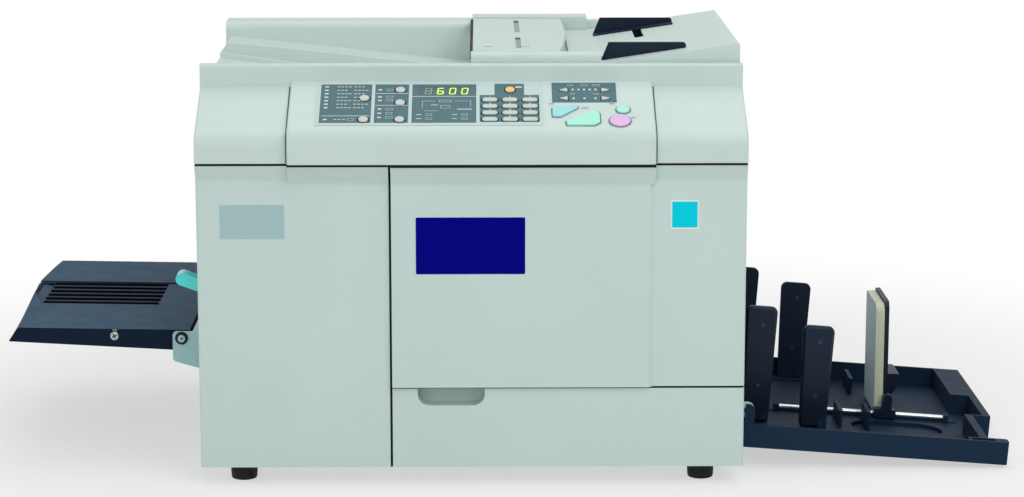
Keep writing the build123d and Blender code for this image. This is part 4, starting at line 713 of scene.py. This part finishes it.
# Each digit's lit segments: top, upper right, lower right, bottom, lower left, upper left, middle
SEGMENTS = {"8": "abcdefg", "6": "acdefg", "0": "abcdef"}
SHOWN_DIGITS = "8600"
DIGIT_X = (-51.2, -36.8, -22.4, -8.0)
DIGIT_S = 88.5
DIGIT_LEAN = 0.12


class DUPLICATOR_OT_display(Operator):
    """Lights seven-segment digits in the display window"""

    bl_idname = "duplicator.display"
    bl_label = "Display"

    def execute(self, context):
        thick = sizes().print_thickness
        width, height, bar = 6.6, 12.4, 1.6
        places = {
            "a": (0, height / 2), "g": (0, 0), "d": (0, -height / 2),
            "b": (width / 2, height / 4), "c": (width / 2, -height / 4),
            "f": (-width / 2, height / 4), "e": (-width / 2, -height / 4),
        }
        lit = glowing("lit_segment", shade(206, 240, 70), 0.9)
        unlit = moulded("dark_segment", shade(140, 160, 150), 0.5, relief=0.05, variation=0.02)
        for index, (digit, x) in enumerate(zip(SHOWN_DIGITS, DIGIT_X)):
            bars = []
            for name in SEGMENTS[digit]:
                dx, ds = places[name]
                w, h = (width, bar) if name in "agd" else (bar, height / 2)
                place = panel_matrix(x + dx + ds * DIGIT_LEAN, DIGIT_S + ds)
                bars.append((place, (w - 0.3) * MM, (h - 0.3) * MM, thick, 0.0004, 2))
            material = lit if index else unlit
            boxed(f"display_digit_{index + 1}", bars, "scanner_unit", material)
        return {"FINISHED"}


class DUPLICATOR_OT_key_numbers(Operator):
    """Prints plain numbers above the number keys"""

    bl_idname = "duplicator.key_numbers"
    bl_label = "Key numbers"

    def execute(self, context):
        ink = print_ink("number_print", shade(214, 222, 220))
        size = 5.2
        row_pitch = 13.9
        above_key = 4.9
        lift = 0.03
        for row, text in enumerate((" 0 ", "789", "456", "123")):
            s = LAST_ROW + row * row_pitch + above_key
            for node, digit in zip(NUMBER_KEYS, text):
                if digit == " ":
                    continue
                low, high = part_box(node)
                curve = bpy.data.curves.new(f"number_{digit}", "FONT")
                curve.body = digit
                curve.size = size * MM
                curve.align_x = "CENTER"
                curve.extrude = sizes().print_thickness / 2
                source = bpy.data.objects.new(f"number_{digit}", curve)
                mesh = bpy.data.meshes.new_from_object(source)
                bpy.data.objects.remove(source)
                shape = bmesh.new()
                shape.from_mesh(mesh)
                bpy.data.meshes.remove(mesh)
                place = panel_matrix(((low.x + high.x) / 2 - CENTRE_X) / MM, s, lift)
                bmesh.ops.transform(shape, matrix=place, verts=shape.verts)
                finished(f"number_print_{digit}", shape, "scanner_unit", ink)
        return {"FINISHED"}


# Each stuck-on plate: name, body, colour, place on the front, size and corner in millimetres
PLATES = (
    ("door_plate", "front_door", "plate_navy", (-1.5, 294.0, -6.0), (129.0, 68.0), 1.5),
    ("left_plate", "machine", "plate_grey", (-259.0, 321.8, 0.0), (76.0, 40.5), 1.0),
    ("small_plate_edge", "front_door", None, (251.5, 330.0, 0.0), (33.0, 35.0), 0.8),
    ("small_plate", "front_door", "plate_cyan", (251.5, 330.0, -0.3), (30.0, 31.0), 0.4),
)


class DUPLICATOR_OT_plates(Operator):
    """Sticks the bare plates on the front covers"""

    bl_idname = "duplicator.plates"
    bl_label = "Plates"

    def execute(self, context):
        thick = sizes().plate_thickness
        for name, body, colour, place, (width, height), corner in PLATES:
            value = getattr(colours(), colour) if colour else shade(232, 238, 238)
            material = moulded(
                name + "_film", value, 0.8, grain=500.0, relief=0.08, variation=0.03, specular=0.04
            )
            plate = (front_frame(*place), width * MM, height * MM, thick, corner * MM)
            boxed(name, [plate], body, material)
        return {"FINISHED"}


def add_screws(names, places, radius, height, steel, body, shape=None):
    """Pan-head screws on their frames, and dark crosses as a second piece: painted shade of their recesses,
    which are not cut.
    """
    heads = shape or bmesh.new()
    profile = (
        (0.0, height * 0.98), (radius * 0.55, height * 0.98),
        (radius * 0.8, height * 0.86), (radius * 0.96, height * 0.5), (radius, 0.0),
    )
    crosses = []
    for place in places:
        add_ring_profile(heads, place, profile, 28)
        # Each cross is a dark plate on the head: painted shade of its recess
        for spin in (0.4, 0.4 + math.pi / 2):
            turned = place @ Matrix.Rotation(spin, 4, "Z") @ Matrix.Translation((0, 0, height * 0.9))
            crosses.append((turned, radius * 1.15, radius * 0.26, height * 0.13))
    finished(names[0], heads, body, steel, smooth=True)
    black = moulded("recess_shade_black", shade(14, 16, 18), 0.6, relief=0.1, specular=0.2)
    boxed(names[1], crosses, body, black)


# The feed tray's screw, and the ends of its pivot with the ways that they face, in millimetres
TRAY_SCREW = (-437.0, 0.0, 163.0)
PIVOT_ENDS = ((86.0, OUT_FRONT), (528.0, OUT_BACK))


class DUPLICATOR_OT_fasteners(Operator):
    """Adds the screws and washers that show on the feed tray and its bracket"""

    bl_idname = "duplicator.fasteners"
    bl_label = "Fasteners"

    def execute(self, context):
        steel = brushed("screw_steel", shade(196, 204, 200), 0.3)
        black = moulded("washer_plastic", shade(14, 15, 17), 0.5, relief=0.2, specular=0.3)
        spot = at(*TRAY_SCREW)
        spot.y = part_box("feed_tray")[0].y
        head = bmesh.new()
        # A small mark stands above the screw
        above = spot + Vector((0.5, 0, 7.4)) * MM
        add_box(head, facing(above, OUT_FRONT), 5.5 * MM, 0.8 * MM, 0.3 * MM)
        names = ("tray_screw", "tray_screw_recess_shade")
        add_screws(names, [facing(spot, OUT_FRONT)], 0.0056, 0.0022, steel, "feed_tray", head)

        # A screw in a black washer on each pivot of the feed tray
        pivot = Vector(JOINTS["feed_tray_fold"]["pos_m"])
        places = [facing(Vector((pivot.x, at(0, y, 0).y, pivot.z)), way) for y, way in PIVOT_ENDS]
        inner, outer, thick = 0.0037, 0.0079, 0.0019
        ring = (
            (inner, 0.0), (outer, 0.0), (outer, thick - 0.0007), (outer - 0.0007, thick), (inner, thick),
            (inner, 0.0),
        )
        washers = bmesh.new()
        for place in places:
            add_ring_profile(washers, place, ring, 40)
        finished("pivot_washers", washers, "feed_lift", black, smooth=True)
        names = ("pivot_screws", "pivot_screw_recess_shade")
        add_screws(names, places, inner, 0.0046, steel, "feed_lift")
        return {"FINISHED"}


class DUPLICATOR_OT_stop_foam(Operator):
    """Makes the end stop's foam pad, with its thin grey face sheet"""

    bl_idname = "duplicator.stop_foam"
    bl_label = "Stop foam"

    def execute(self, context):
        low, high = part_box("stop_foam")
        corner = 0.009
        sheet = 0.0009
        width = high.y - low.y
        height = high.z - low.z
        middle = (low + high) / 2
        turn = Matrix(((0, 0, -1), (-1, 0, 0), (0, 1, 0))).to_4x4()

        def pad(x, thickness, inset, edge):
            """A plate with two rounded upper corners and soft rims, standing across the tray."""
            shape = bmesh.new()
            made = bmesh.ops.create_grid(shape, x_segments=24, y_segments=36, size=0.5)["verts"]
            bmesh.ops.scale(shape, vec=(width - 2 * inset, height - 2 * inset, 1), verts=made)
            reach_x = width / 2 - inset - corner
            reach_y = height / 2 - inset - corner
            for vert in made:
                dx, dy = abs(vert.co.x) - reach_x, vert.co.y - reach_y
                if dx > 0 and dy > 0:
                    share = max(dx, dy) / math.hypot(dx, dy)
                    vert.co.x = math.copysign(reach_x + dx * share, vert.co.x)
                    vert.co.y = reach_y + dy * share
            extruded = bmesh.ops.extrude_face_region(shape, geom=shape.faces[:])["geom"]
            bmesh.ops.translate(shape, vec=(0, 0, thickness), verts=points_in(extruded))
            rims = [e for e in shape.edges if len(e.link_faces) == 2 and e.calc_face_angle(0) > 1.2]
            bevelled(shape, rims, edge, 4)
            place = Matrix.Translation((x, middle.y, middle.z)) @ turn
            bmesh.ops.transform(shape, matrix=place, verts=shape.verts)
            return shape

        block = pad(high.x, high.x - low.x - sheet, inset=0.0002, edge=sizes().foam_round)
        foam = finished(
            "end_stop_pad", block, "stop_flap", foamy("pad_foam", colours().foam), smooth=True
        )
        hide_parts("stop_foam")
        film = moulded("pad_sheet_plastic", colours().pad_sheet, 0.6, grain=1200.0, relief=0.3)
        front = pad(low.x + sheet, sheet, inset=0.0, edge=0.0003)
        face = finished("pad_face_sheet", front, "stop_flap", film, smooth=True)
        return {"FINISHED"}


# The raised middle of the upper casing, in millimetres: its sides, foot, bend and top, and the width of its
# painted shadow lines
RAISE_LEFT, RAISE_RIGHT = -218.1, 216.0
RAISE_FRONT_Y, RAISE_LOW_Z, RAISE_FOOT_Z = -10.0, 393.6, 423.5
RAISE_BEND = 18.0
RAISE_TOP_Y, RAISE_TOP_Z = 81.0, 471.3
RAISE_SHADOW_WIDTH = 2.1


class DUPLICATOR_OT_gap_shades(Operator):
    """Lays black strips in the gaps between the covers as painted shade of the gaps, and painted shadow
    lines along the raised middle of the upper casing
    """

    bl_idname = "duplicator.seals"
    bl_label = "Gap shades"

    def execute(self, context):
        cover_low, cover_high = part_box("left_front_cover")
        door_low, door_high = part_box("front_door")
        panel_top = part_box("lower_front_panel")[1].z
        inset = 1.2 * MM
        deep = 9.0 * MM
        gap = 0.3 * MM
        proud = 0.3 * MM
        sunk = 0.6 * MM
        door_sunk = 1.5 * MM
        seam_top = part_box("upper_casing")[0].z - 0.2 * MM
        flank_y = FRONT_Y + RAISE_FRONT_Y * MM - proud
        middle_y = cover_low.y - proud
        back_y = flank_y + deep
        left, right = CENTRE_X - RAISE_RIGHT * MM, CENTRE_X + RAISE_RIGHT * MM
        near_y, far_y = FRONT_Y + inset, FRONT_Y + deep
        door_left, door_right = door_low.x + gap, door_high.x - inset
        # Each strip is a black sheet in a gap between covers: painted shade of the gap
        strips = {
            "cover_gap_shade": ("machine", (
                (cover_low.x + inset, left, flank_y, back_y, cover_high.z - sunk, seam_top),
                (left, cover_high.x - gap, middle_y, back_y, cover_high.z - sunk, seam_top),
            )),
            "door_gap_shade": ("front_door", (
                (door_left, right, middle_y, back_y, door_high.z - door_sunk, seam_top),
                (right, door_right, flank_y, back_y, door_high.z - sunk, seam_top),
            )),
            "side_gap_shade": ("machine", (
                (cover_high.x, door_low.x - gap, near_y, far_y, cover_low.z, cover_high.z),
            )),
            "sill_gap_shade": ("machine", (
                (door_left, door_right, near_y, far_y, panel_top, door_low.z - gap),
            )),
        }
        black = rubbery("gap_shade_rubber", shade(5, 6, 7))
        for name, (body, spans) in strips.items():
            boxes = [
                (Matrix.Translation(((x0 + x1) / 2, (y0 + y1) / 2, z0)), x1 - x0, y1 - y0, z1 - z0)
                for x0, x1, y0, y1, z0, z1 in spans
            ]
            boxed(name, boxes, body, black)

        # A painted shadow line along each side of the raised middle of the upper casing
        slope = math.atan2(RAISE_TOP_Z - RAISE_FOOT_Z, RAISE_TOP_Y - RAISE_FRONT_Y)
        turn = math.pi / 2 - slope
        bend_z = RAISE_FOOT_Z - RAISE_BEND * math.tan(turn / 2)
        path = [(RAISE_FRONT_Y, RAISE_LOW_Z), (RAISE_FRONT_Y, bend_z)]
        for step in range(1, 7):
            angle = turn * step / 6
            back = RAISE_BEND * (1 - math.cos(angle))
            path.append((RAISE_FRONT_Y + back, bend_z + RAISE_BEND * math.sin(angle)))
        path.append((RAISE_TOP_Y - 0.3, RAISE_TOP_Z - 0.1))
        shape = bmesh.new()
        for x in (RAISE_LEFT, RAISE_RIGHT):
            line = [shape.verts.new(at(x, y - 0.12, z + 0.12)) for y, z in path]
            edges = [shape.edges.new(pair) for pair in zip(line, line[1:])]
            wide = bmesh.ops.extrude_edge_only(shape, edges=edges)["geom"]
            bmesh.ops.translate(shape, vec=(RAISE_SHADOW_WIDTH * MM, 0, 0), verts=points_in(wide))
        bmesh.ops.solidify(shape, geom=shape.faces[:], thickness=0.0001)
        dark = moulded("gap_shadow", shade(88, 108, 104), 0.7, relief=0.05, specular=0.1)
        finished("raise_shadow_lines", shape, "scanner_unit", dark)
        return {"FINISHED"}


class DUPLICATOR_OT_rear_screws(Operator):
    """Drives the screws that hold the rear and side covers"""

    bl_idname = "duplicator.rear_screws"
    bl_label = "Cover screws"

    def execute(self, context):
        low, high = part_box("rear_cover")
        inset = 0.014
        flange = 0.3
        places = []
        for x in (low.x + inset, (low.x + high.x) / 2, high.x - inset):
            for z in (low.z + inset, (low.z + high.z) / 2, high.z - inset):
                places.append(facing(Vector((x, high.y, z)), OUT_BACK))
        for name, side in (("left_side_cover", -1), ("right_side_cover", 1)):
            low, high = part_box(name)
            x = at(side * 325.0, 0, 0).x
            for y in (high.y - inset, high.y - flange):
                for z in (low.z + inset, high.z - inset):
                    if side > 0 or y > low.y + flange:
                        places.append(facing(Vector((x, y, z)), (side, 0, 0)))
        steel = brushed("cover_screw_steel", shade(168, 174, 176), 0.32)
        add_screws(("cover_screws", "cover_screw_recess_shade"), places, 0.0042, 0.002, steel, "machine")
        return {"FINISHED"}


# The feed tray's top, in millimetres: its root at the machine, its rise to the tip, and its grooves
FEED_ROOT_X, FEED_ROOT_Z = -345.0, 170.2
FEED_RISE = (173.8 - FEED_ROOT_Z) / (565.7 + FEED_ROOT_X)
GROOVE_LEFT, GROOVE_RIGHT = -547.5, -400.5
GROOVE_FRONT, GROOVE_BACK = 241.0, 379.0
GROOVES = 6
GROOVE_DEPTH = 6.5
CHANNEL_DEPTH = 1.5


def feed_top(x, y, sunk):
    """A point on the feed tray's top, sunk below it."""
    return at(x, y, FEED_ROOT_Z + (FEED_ROOT_X - x) * FEED_RISE - sunk)


class DUPLICATOR_OT_groove_shade(Operator):
    """Lines the feed tray's grooves in black: painted shade of the deep grooves"""

    bl_idname = "duplicator.grooves"
    bl_label = "Groove shade"

    def execute(self, context):
        turn = Matrix.Rotation(math.atan(FEED_RISE), 4, "Y")
        middle = (GROOVE_LEFT + GROOVE_RIGHT) / 2
        width = (GROOVE_RIGHT - GROOVE_LEFT) * MM
        pitch = (GROOVE_BACK - GROOVE_FRONT) / GROOVES
        half = pitch * 0.31
        rib = pitch - 2 * half
        thin = 0.0002

        def liner(x, y, sunk, *size):
            return (Matrix.Translation(feed_top(x, y, sunk)) @ turn, *size)

        # Painted shade: a black sheet on each groove's floor and up its back wall
        liners = []
        floor = GROOVE_DEPTH - 0.05
        wall = (GROOVE_DEPTH - 1.7) * MM
        for index in range(GROOVES):
            y = GROOVE_FRONT + (index + 0.5) * pitch
            liners.append(liner(middle, y, floor, width, 2 * half * MM, thin))
            liners.append(liner(middle, y + half - 0.12, floor, width, thin, wall))
        black = moulded("groove_shade_black", shade(6, 8, 12), 0.8, relief=0.1, specular=0.1)
        boxed("groove_shade_liners", liners, "feed_tray", black)

        # Painted shadow on the channel between the grooves, a painted shade line along its back edge, and
        # painted shade on its sunk lead-in
        ribs = []
        for index in range(GROOVES + 1):
            y = GROOVE_FRONT + index * pitch
            low, high = max(GROOVE_FRONT + 0.2, y - rib / 2), min(GROOVE_BACK - 0.2, y + rib / 2)
            ribs.append(
                liner(middle, (low + high) / 2, CHANNEL_DEPTH - 0.03, width, (high - low) * MM, 0.00008)
            )
        edge = (CHANNEL_DEPTH, width + 0.012, thin, CHANNEL_DEPTH * MM)
        ribs.append(liner(middle - 6.0, GROOVE_BACK - 0.15, *edge))
        blue = moulded("channel_shadow_blue", shade(24, 38, 60), 0.7, relief=0.2, specular=0.15)
        boxed("channel_shadow_liner", ribs, "feed_tray", blue)

        # The lead-in's dark sheet is painted shade
        corners = (
            (-567.0, 320.5, 1.6), (-548.4, 243.0, 5.95), (-548.4, 372.6, 5.95), (-567.0, 372.6, 1.6),
        )
        sheet = bmesh.new()
        sheet.faces.new([sheet.verts.new(feed_top(*corner)) for corner in corners])
        bmesh.ops.recalc_face_normals(sheet, faces=sheet.faces)
        bmesh.ops.solidify(sheet, geom=sheet.faces[:], thickness=0.0001)
        deep_blue = moulded("lead_in_shade_blue", shade(12, 20, 36), 0.7, relief=0.2, specular=0.1)
        finished("lead_in_shade_liner", sheet, "feed_tray", deep_blue)
        return {"FINISHED"}


FIN_LEAN = math.tan(math.radians(4.3))


class DUPLICATOR_OT_fin_marks(Operator):
    """Leaves the round ejector marks on the faces of the fins"""

    bl_idname = "duplicator.fin_marks"
    bl_label = "Fin marks"

    def execute(self, context):
        radius, rim = 0.0026, 0.0001
        profile = (
            (radius, 0.0), (radius, rim), (radius - 0.0006, 0.00022), (radius - 0.0012, rim), (0, rim),
        )
        material = moulded("fin_mark_plastic", shade(34, 48, 70), 0.35, relief=0.1)
        for name in FINS:
            low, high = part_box(name)
            shape = bmesh.new()
            # The fins lean with the tray, so each mark keeps to the middle of its own height
            height = high.z - low.z
            lean = FIN_LEAN * height
            for share in (0.32, 0.84):
                spot = Vector(((low.x + high.x - lean) / 2 + lean * share, low.y, low.z + height * share))
                add_ring_profile(shape, facing(spot, OUT_FRONT), profile, 24)
            finished(name + "_marks", shape, name, material, smooth=True)
        return {"FINISHED"}


# The lid's sunk slots and its two marks, as place, size and depth in millimetres
LID_SLOT_X, LID_SLOT_WIDTH, LID_SLOT_DEPTH = 57.25, 6.2, 1.2
LID_MARKS = {
    # Painted shade: the dark ends of both slots; the last entry is a mark on the lid
    "lid_slot_ends": ("slot_black", (24, 30, 32), (
        (LID_SLOT_X, 425.0, LID_SLOT_WIDTH, 15.0, LID_SLOT_DEPTH),
        (LID_SLOT_X, 240.0, LID_SLOT_WIDTH, 13.0, LID_SLOT_DEPTH),
        (20.0, 150.0, 9.0, 1.8, 0.0),
    )),
    # Painted shade: the slot floors, darker than the lid and paler than the ends
    "lid_slot_floor_shade": ("slot_floor", (158, 175, 171), (
        (LID_SLOT_X, 359.0, LID_SLOT_WIDTH, 116.0, LID_SLOT_DEPTH),
        (LID_SLOT_X, 184.5, LID_SLOT_WIDTH, 97.0, LID_SLOT_DEPTH),
    )),
    "lid_marks": ("slot_grey", (112, 128, 126), ((64.0, 150.0, 15.0, 1.6, 0.0),)),
}


class DUPLICATOR_OT_feeder_marks(Operator):
    """Adds painted shade in the small sunk slots on the document feeder's lid, its two marks, and the brush
    at its left end
    """

    bl_idname = "duplicator.feeder_marks"
    bl_label = "Feeder marks"

    def execute(self, context):
        low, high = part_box("adf_cover")
        for name, (film, colour, places) in LID_MARKS.items():
            boxes = []
            for x, y, width, length, drop in places:
                spot = at(x, y, 0)
                spot.z = high.z - drop * MM + 0.00002
                boxes.append((Matrix.Translation(spot), width * MM, length * MM, 0.00015))
            material = moulded(film, shade(*colour), 0.7, relief=0.1, specular=0.2)
            boxed(name, boxes, "adf_cover", material)

        # The black brush along the lid's left end, which takes the charge off the originals
        bar_back = at(0, 113.0, 0).y
        end_gap = 0.002
        length = high.y - bar_back - 2 * end_gap
        brush_low, brush_high = high.z - 11.5 * MM, high.z - 0.6 * MM
        place = Matrix.Translation((low.x - 0.0014, bar_back + end_gap + length / 2, brush_low))
        brush = (place, 0.0034, length, brush_high - brush_low)
        boxed("lid_brush", [brush], "adf_cover", rubbery("brush_black", shade(5, 7, 9)))
        return {"FINISHED"}


def outline_ring(shape, points, matrix, gap, width, thickness):
    """A flat ring round a convex outline on a frame, begun a gap away from it."""
    hull = [points[i] for i in convex_hull_2d(points)]
    centre = sum(hull, Vector((0, 0))) / len(hull)
    edges = []
    for spread in (gap, gap + width):
        pushed = [point + (point - centre).normalized() * spread for point in hull]
        made = [shape.verts.new((x, y, 0)) for x, y in pushed]
        edges += [shape.edges.new((made[i - 1], made[i])) for i in range(len(made))]
    rim = bmesh.ops.bridge_loops(shape, edges=edges)["faces"]
    lifted = points_in(bmesh.ops.extrude_face_region(shape, geom=rim, use_keep_orig=True)["geom"])
    bmesh.ops.translate(shape, vec=(0, 0, thickness), verts=lifted)
    bmesh.ops.transform(shape, matrix=matrix, verts=joined_verts(lifted))


def key_outlines(node):
    """The outline points of each key of a node, across and up the control panel's slope."""
    merged = bmesh.new()
    merged.from_mesh(NODES[node].data)
    bmesh.ops.remove_doubles(merged, verts=merged.verts, dist=WELD)
    seen = set()
    outlines = []
    for vert in merged.verts:
        if vert not in seen:
            key = joined_verts([vert])
            seen.update(key)
            outlines.append([Vector((v.co.x - CENTRE_X, v.co.dot(SLOPE_UP) - PLATE_LOW)) for v in key])
    merged.free()
    return outlines


class DUPLICATOR_OT_key_shadows(Operator):
    """Draws a painted shadow round each key, most of it below the key"""

    bl_idname = "duplicator.key_rims"
    bl_label = "Key shadows"

    def execute(self, context):
        # The painted shadows lie a little below their keys, where a key's shadow falls most
        drop = 0.7
        foot = panel_matrix(0.0, PLATE_FOOT - drop)
        gap, thickness = 0.2 * MM, 0.00005
        grouped = (
            ("dark", (16, 26, 30), 1.3, NUMBER_KEYS + SELECT_KEYS + ("key_arrows", "key_wake")),
            ("soft", (92, 128, 132), 1.1, ("key_master", "key_start", "key_test", "key_stop")),
        )
        for name, colour, width, nodes in grouped:
            shape = bmesh.new()
            for node in nodes:
                for points in key_outlines(node):
                    outline_ring(shape, points, foot, gap, width * MM, thickness)
            material = moulded("key_shadow_" + name, shade(*colour), 0.7, relief=0.05, specular=0.1)
            finished(name + "_key_shadows", shape, "scanner_unit", material)
        return {"FINISHED"}


def seen_directly(tree):
    """One for what the camera, a mirror or a clear pane shows, and nought for the light that it throws."""
    path = add_node(tree, "LightPath").outputs
    total = path["Is Camera Ray"]
    for name in ("Is Glossy Ray", "Is Transmission Ray"):
        total = math_node(tree, "MAXIMUM", total, path[name])
    return total


def faded(tree, value, start, end, low=0.0):
    """A value that goes smoothly from low to one between two limits."""
    limits = {"Value": value, "From Min": start, "From Max": end, "To Min": low, "To Max": 1.0}
    return add_node(tree, "MapRange", limits, interpolation_type="SMOOTHSTEP").outputs["Result"]


def dim_front(tree):
    """One for a reflection of the room in front of the machine, which is dimmer than the backdrop."""
    way = add_node(tree, "SeparateXYZ", {"Vector": coordinates(tree, "Generated")}).outputs["Y"]
    glossy = add_node(tree, "LightPath").outputs["Is Glossy Ray"]
    return math_node(tree, "MULTIPLY", faded(tree, way, 0.1, -0.5), glossy)


def blended(tree, factor, first, second):
    """One shader or the other by a factor."""
    return add_node(tree, "MixShader", {"Fac": factor, 1: first, 2: second}).outputs["Shader"]


def whiten_far_floor(tree, shader):
    """Lets the floor fade to plain white away from the object, as seen, and keeps its shadow."""
    near, far, least = 0.6, 1.3, 0.55
    distance = add_node(tree, "VectorMath", {0: coordinates(tree)}, operation="LENGTH").outputs["Value"]
    share = math_node(tree, "MULTIPLY", faded(tree, distance, near, far, least), seen_directly(tree))
    white = add_node(tree, "Emission").outputs["Emission"]
    surface = blended(tree, share, shader.outputs["BSDF"], white)
    fill(tree, tree.nodes["Material Output"], {"Surface": surface})


class DUPLICATOR_OT_stage(Operator):
    """Sets up the pale floor, the soft lamps and the camera"""

    bl_idname = "duplicator.stage"
    bl_label = "Studio"

    def execute(self, context):
        scene = context.scene
        scene.view_settings.view_transform = "Standard"

        # A camera in front of the machine, looking a little down at it
        camera = linked("camera", bpy.data.cameras.new("camera"))
        camera.data.sensor_width = 36.0
        camera.data.lens = 100.4
        camera.location = at(11.6, -3312.3, 933.6)
        pitch = 11.003
        yaw = -0.621
        camera.rotation_euler = (math.radians(90 - pitch), 0, math.radians(yaw))
        scene.camera = camera

        # The floor and the world show plain white to the camera, and the floor keeps the shadow
        shape = bmesh.new()
        bmesh.ops.create_grid(shape, x_segments=2, y_segments=2, size=12.0)
        material, tree, shader = new_material("pale_floor")
        floor = linked("floor", meshed("floor", shape, material))
        floor.location = (0, 0, cad_low[2])
        tone = mixed(tree, noise(tree, 0.8, 3.0), (0.80, 0.80, 0.80), (0.84, 0.84, 0.84))
        fill(tree, shader, {"Base Color": tone, "Roughness": 0.8})
        whiten_far_floor(tree, shader)

        world = bpy.data.worlds.new("studio")
        scene.world = world
        world.use_nodes = True
        tree = world.node_tree
        soft = tree.nodes["Background"]
        fill(tree, soft, {"Color": (1.0, 1.0, 1.0, 1.0), "Strength": 0.35})
        bright = add_node(tree, "Background").outputs["Background"]
        dim = add_node(tree, "Background", {"Strength": 0.12}).outputs["Background"]
        lit = blended(tree, seen_directly(tree), soft.outputs["Background"], bright)
        fill(tree, tree.nodes["World Output"], {"Surface": blended(tree, dim_front(tree), lit, dim)})

        lamps = (
            ("key_lamp", (1.5, -2.5, 2.5), 2.2, 45.0),
            ("fill_lamp", (-1.1, -3.0, 1.4), 2.0, 16.0),
            ("top_lamp", (0.2, 0.4, 3.0), 2.6, 28.0),
            ("side_lamp", (-3.0, -0.4, 1.3), 1.6, 14.0),
        )
        for name, place, size, power in lamps:
            lamp = linked(name, bpy.data.lights.new(name, "AREA"))
            lamp.data.shape = "SQUARE"
            lamp.data.size = size
            lamp.data.energy = power
            lamp.location = place
            aim = Vector((0, 0, 0.3)) - Vector(place)
            lamp.rotation_euler = aim.to_track_quat("-Z", "Y").to_euler()
        return {"FINISHED"}


class DUPLICATOR_PT_panel(Panel):
    bl_idname = "DUPLICATOR_PT_panel"
    bl_label = "Duplicator"
    bl_space_type = "VIEW_3D"
    bl_region_type = "UI"
    bl_category = "Duplicator"

    def draw(self, context):
        for operator in OPERATORS:
            self.layout.operator(operator.bl_idname)
        for group in (context.scene.duplicator_colours, context.scene.duplicator_sizes):
            box = self.layout.box()
            for name in group.__annotations__:
                box.prop(group, name)


OPERATORS = (
    DUPLICATOR_OT_stage,
    DUPLICATOR_OT_finishes,
    DUPLICATOR_OT_feet,
    DUPLICATOR_OT_panel_print,
    DUPLICATOR_OT_display,
    DUPLICATOR_OT_key_numbers,
    DUPLICATOR_OT_plates,
    DUPLICATOR_OT_fasteners,
    DUPLICATOR_OT_stop_foam,
    DUPLICATOR_OT_feeder_marks,
    DUPLICATOR_OT_fin_marks,
    DUPLICATOR_OT_key_shadows,
    DUPLICATOR_OT_gap_shades,
    DUPLICATOR_OT_rear_screws,
    DUPLICATOR_OT_groove_shade,
)
CLASSES = (DuplicatorColours, DuplicatorSizes, *OPERATORS, DUPLICATOR_PT_panel)


def register():
    for cls in CLASSES:
        bpy.utils.register_class(cls)
    bpy.types.Scene.duplicator_colours = PointerProperty(type=DuplicatorColours)
    bpy.types.Scene.duplicator_sizes = PointerProperty(type=DuplicatorSizes)


def unregister():
    del bpy.types.Scene.duplicator_colours
    del bpy.types.Scene.duplicator_sizes
    for cls in reversed(CLASSES):
        bpy.utils.unregister_class(cls)


def main():
    register()
    for operator in OPERATORS:
        group, name = operator.bl_idname.split(".")
        getattr(getattr(bpy.ops, group), name)()


if __name__ == "__main__":
    main()
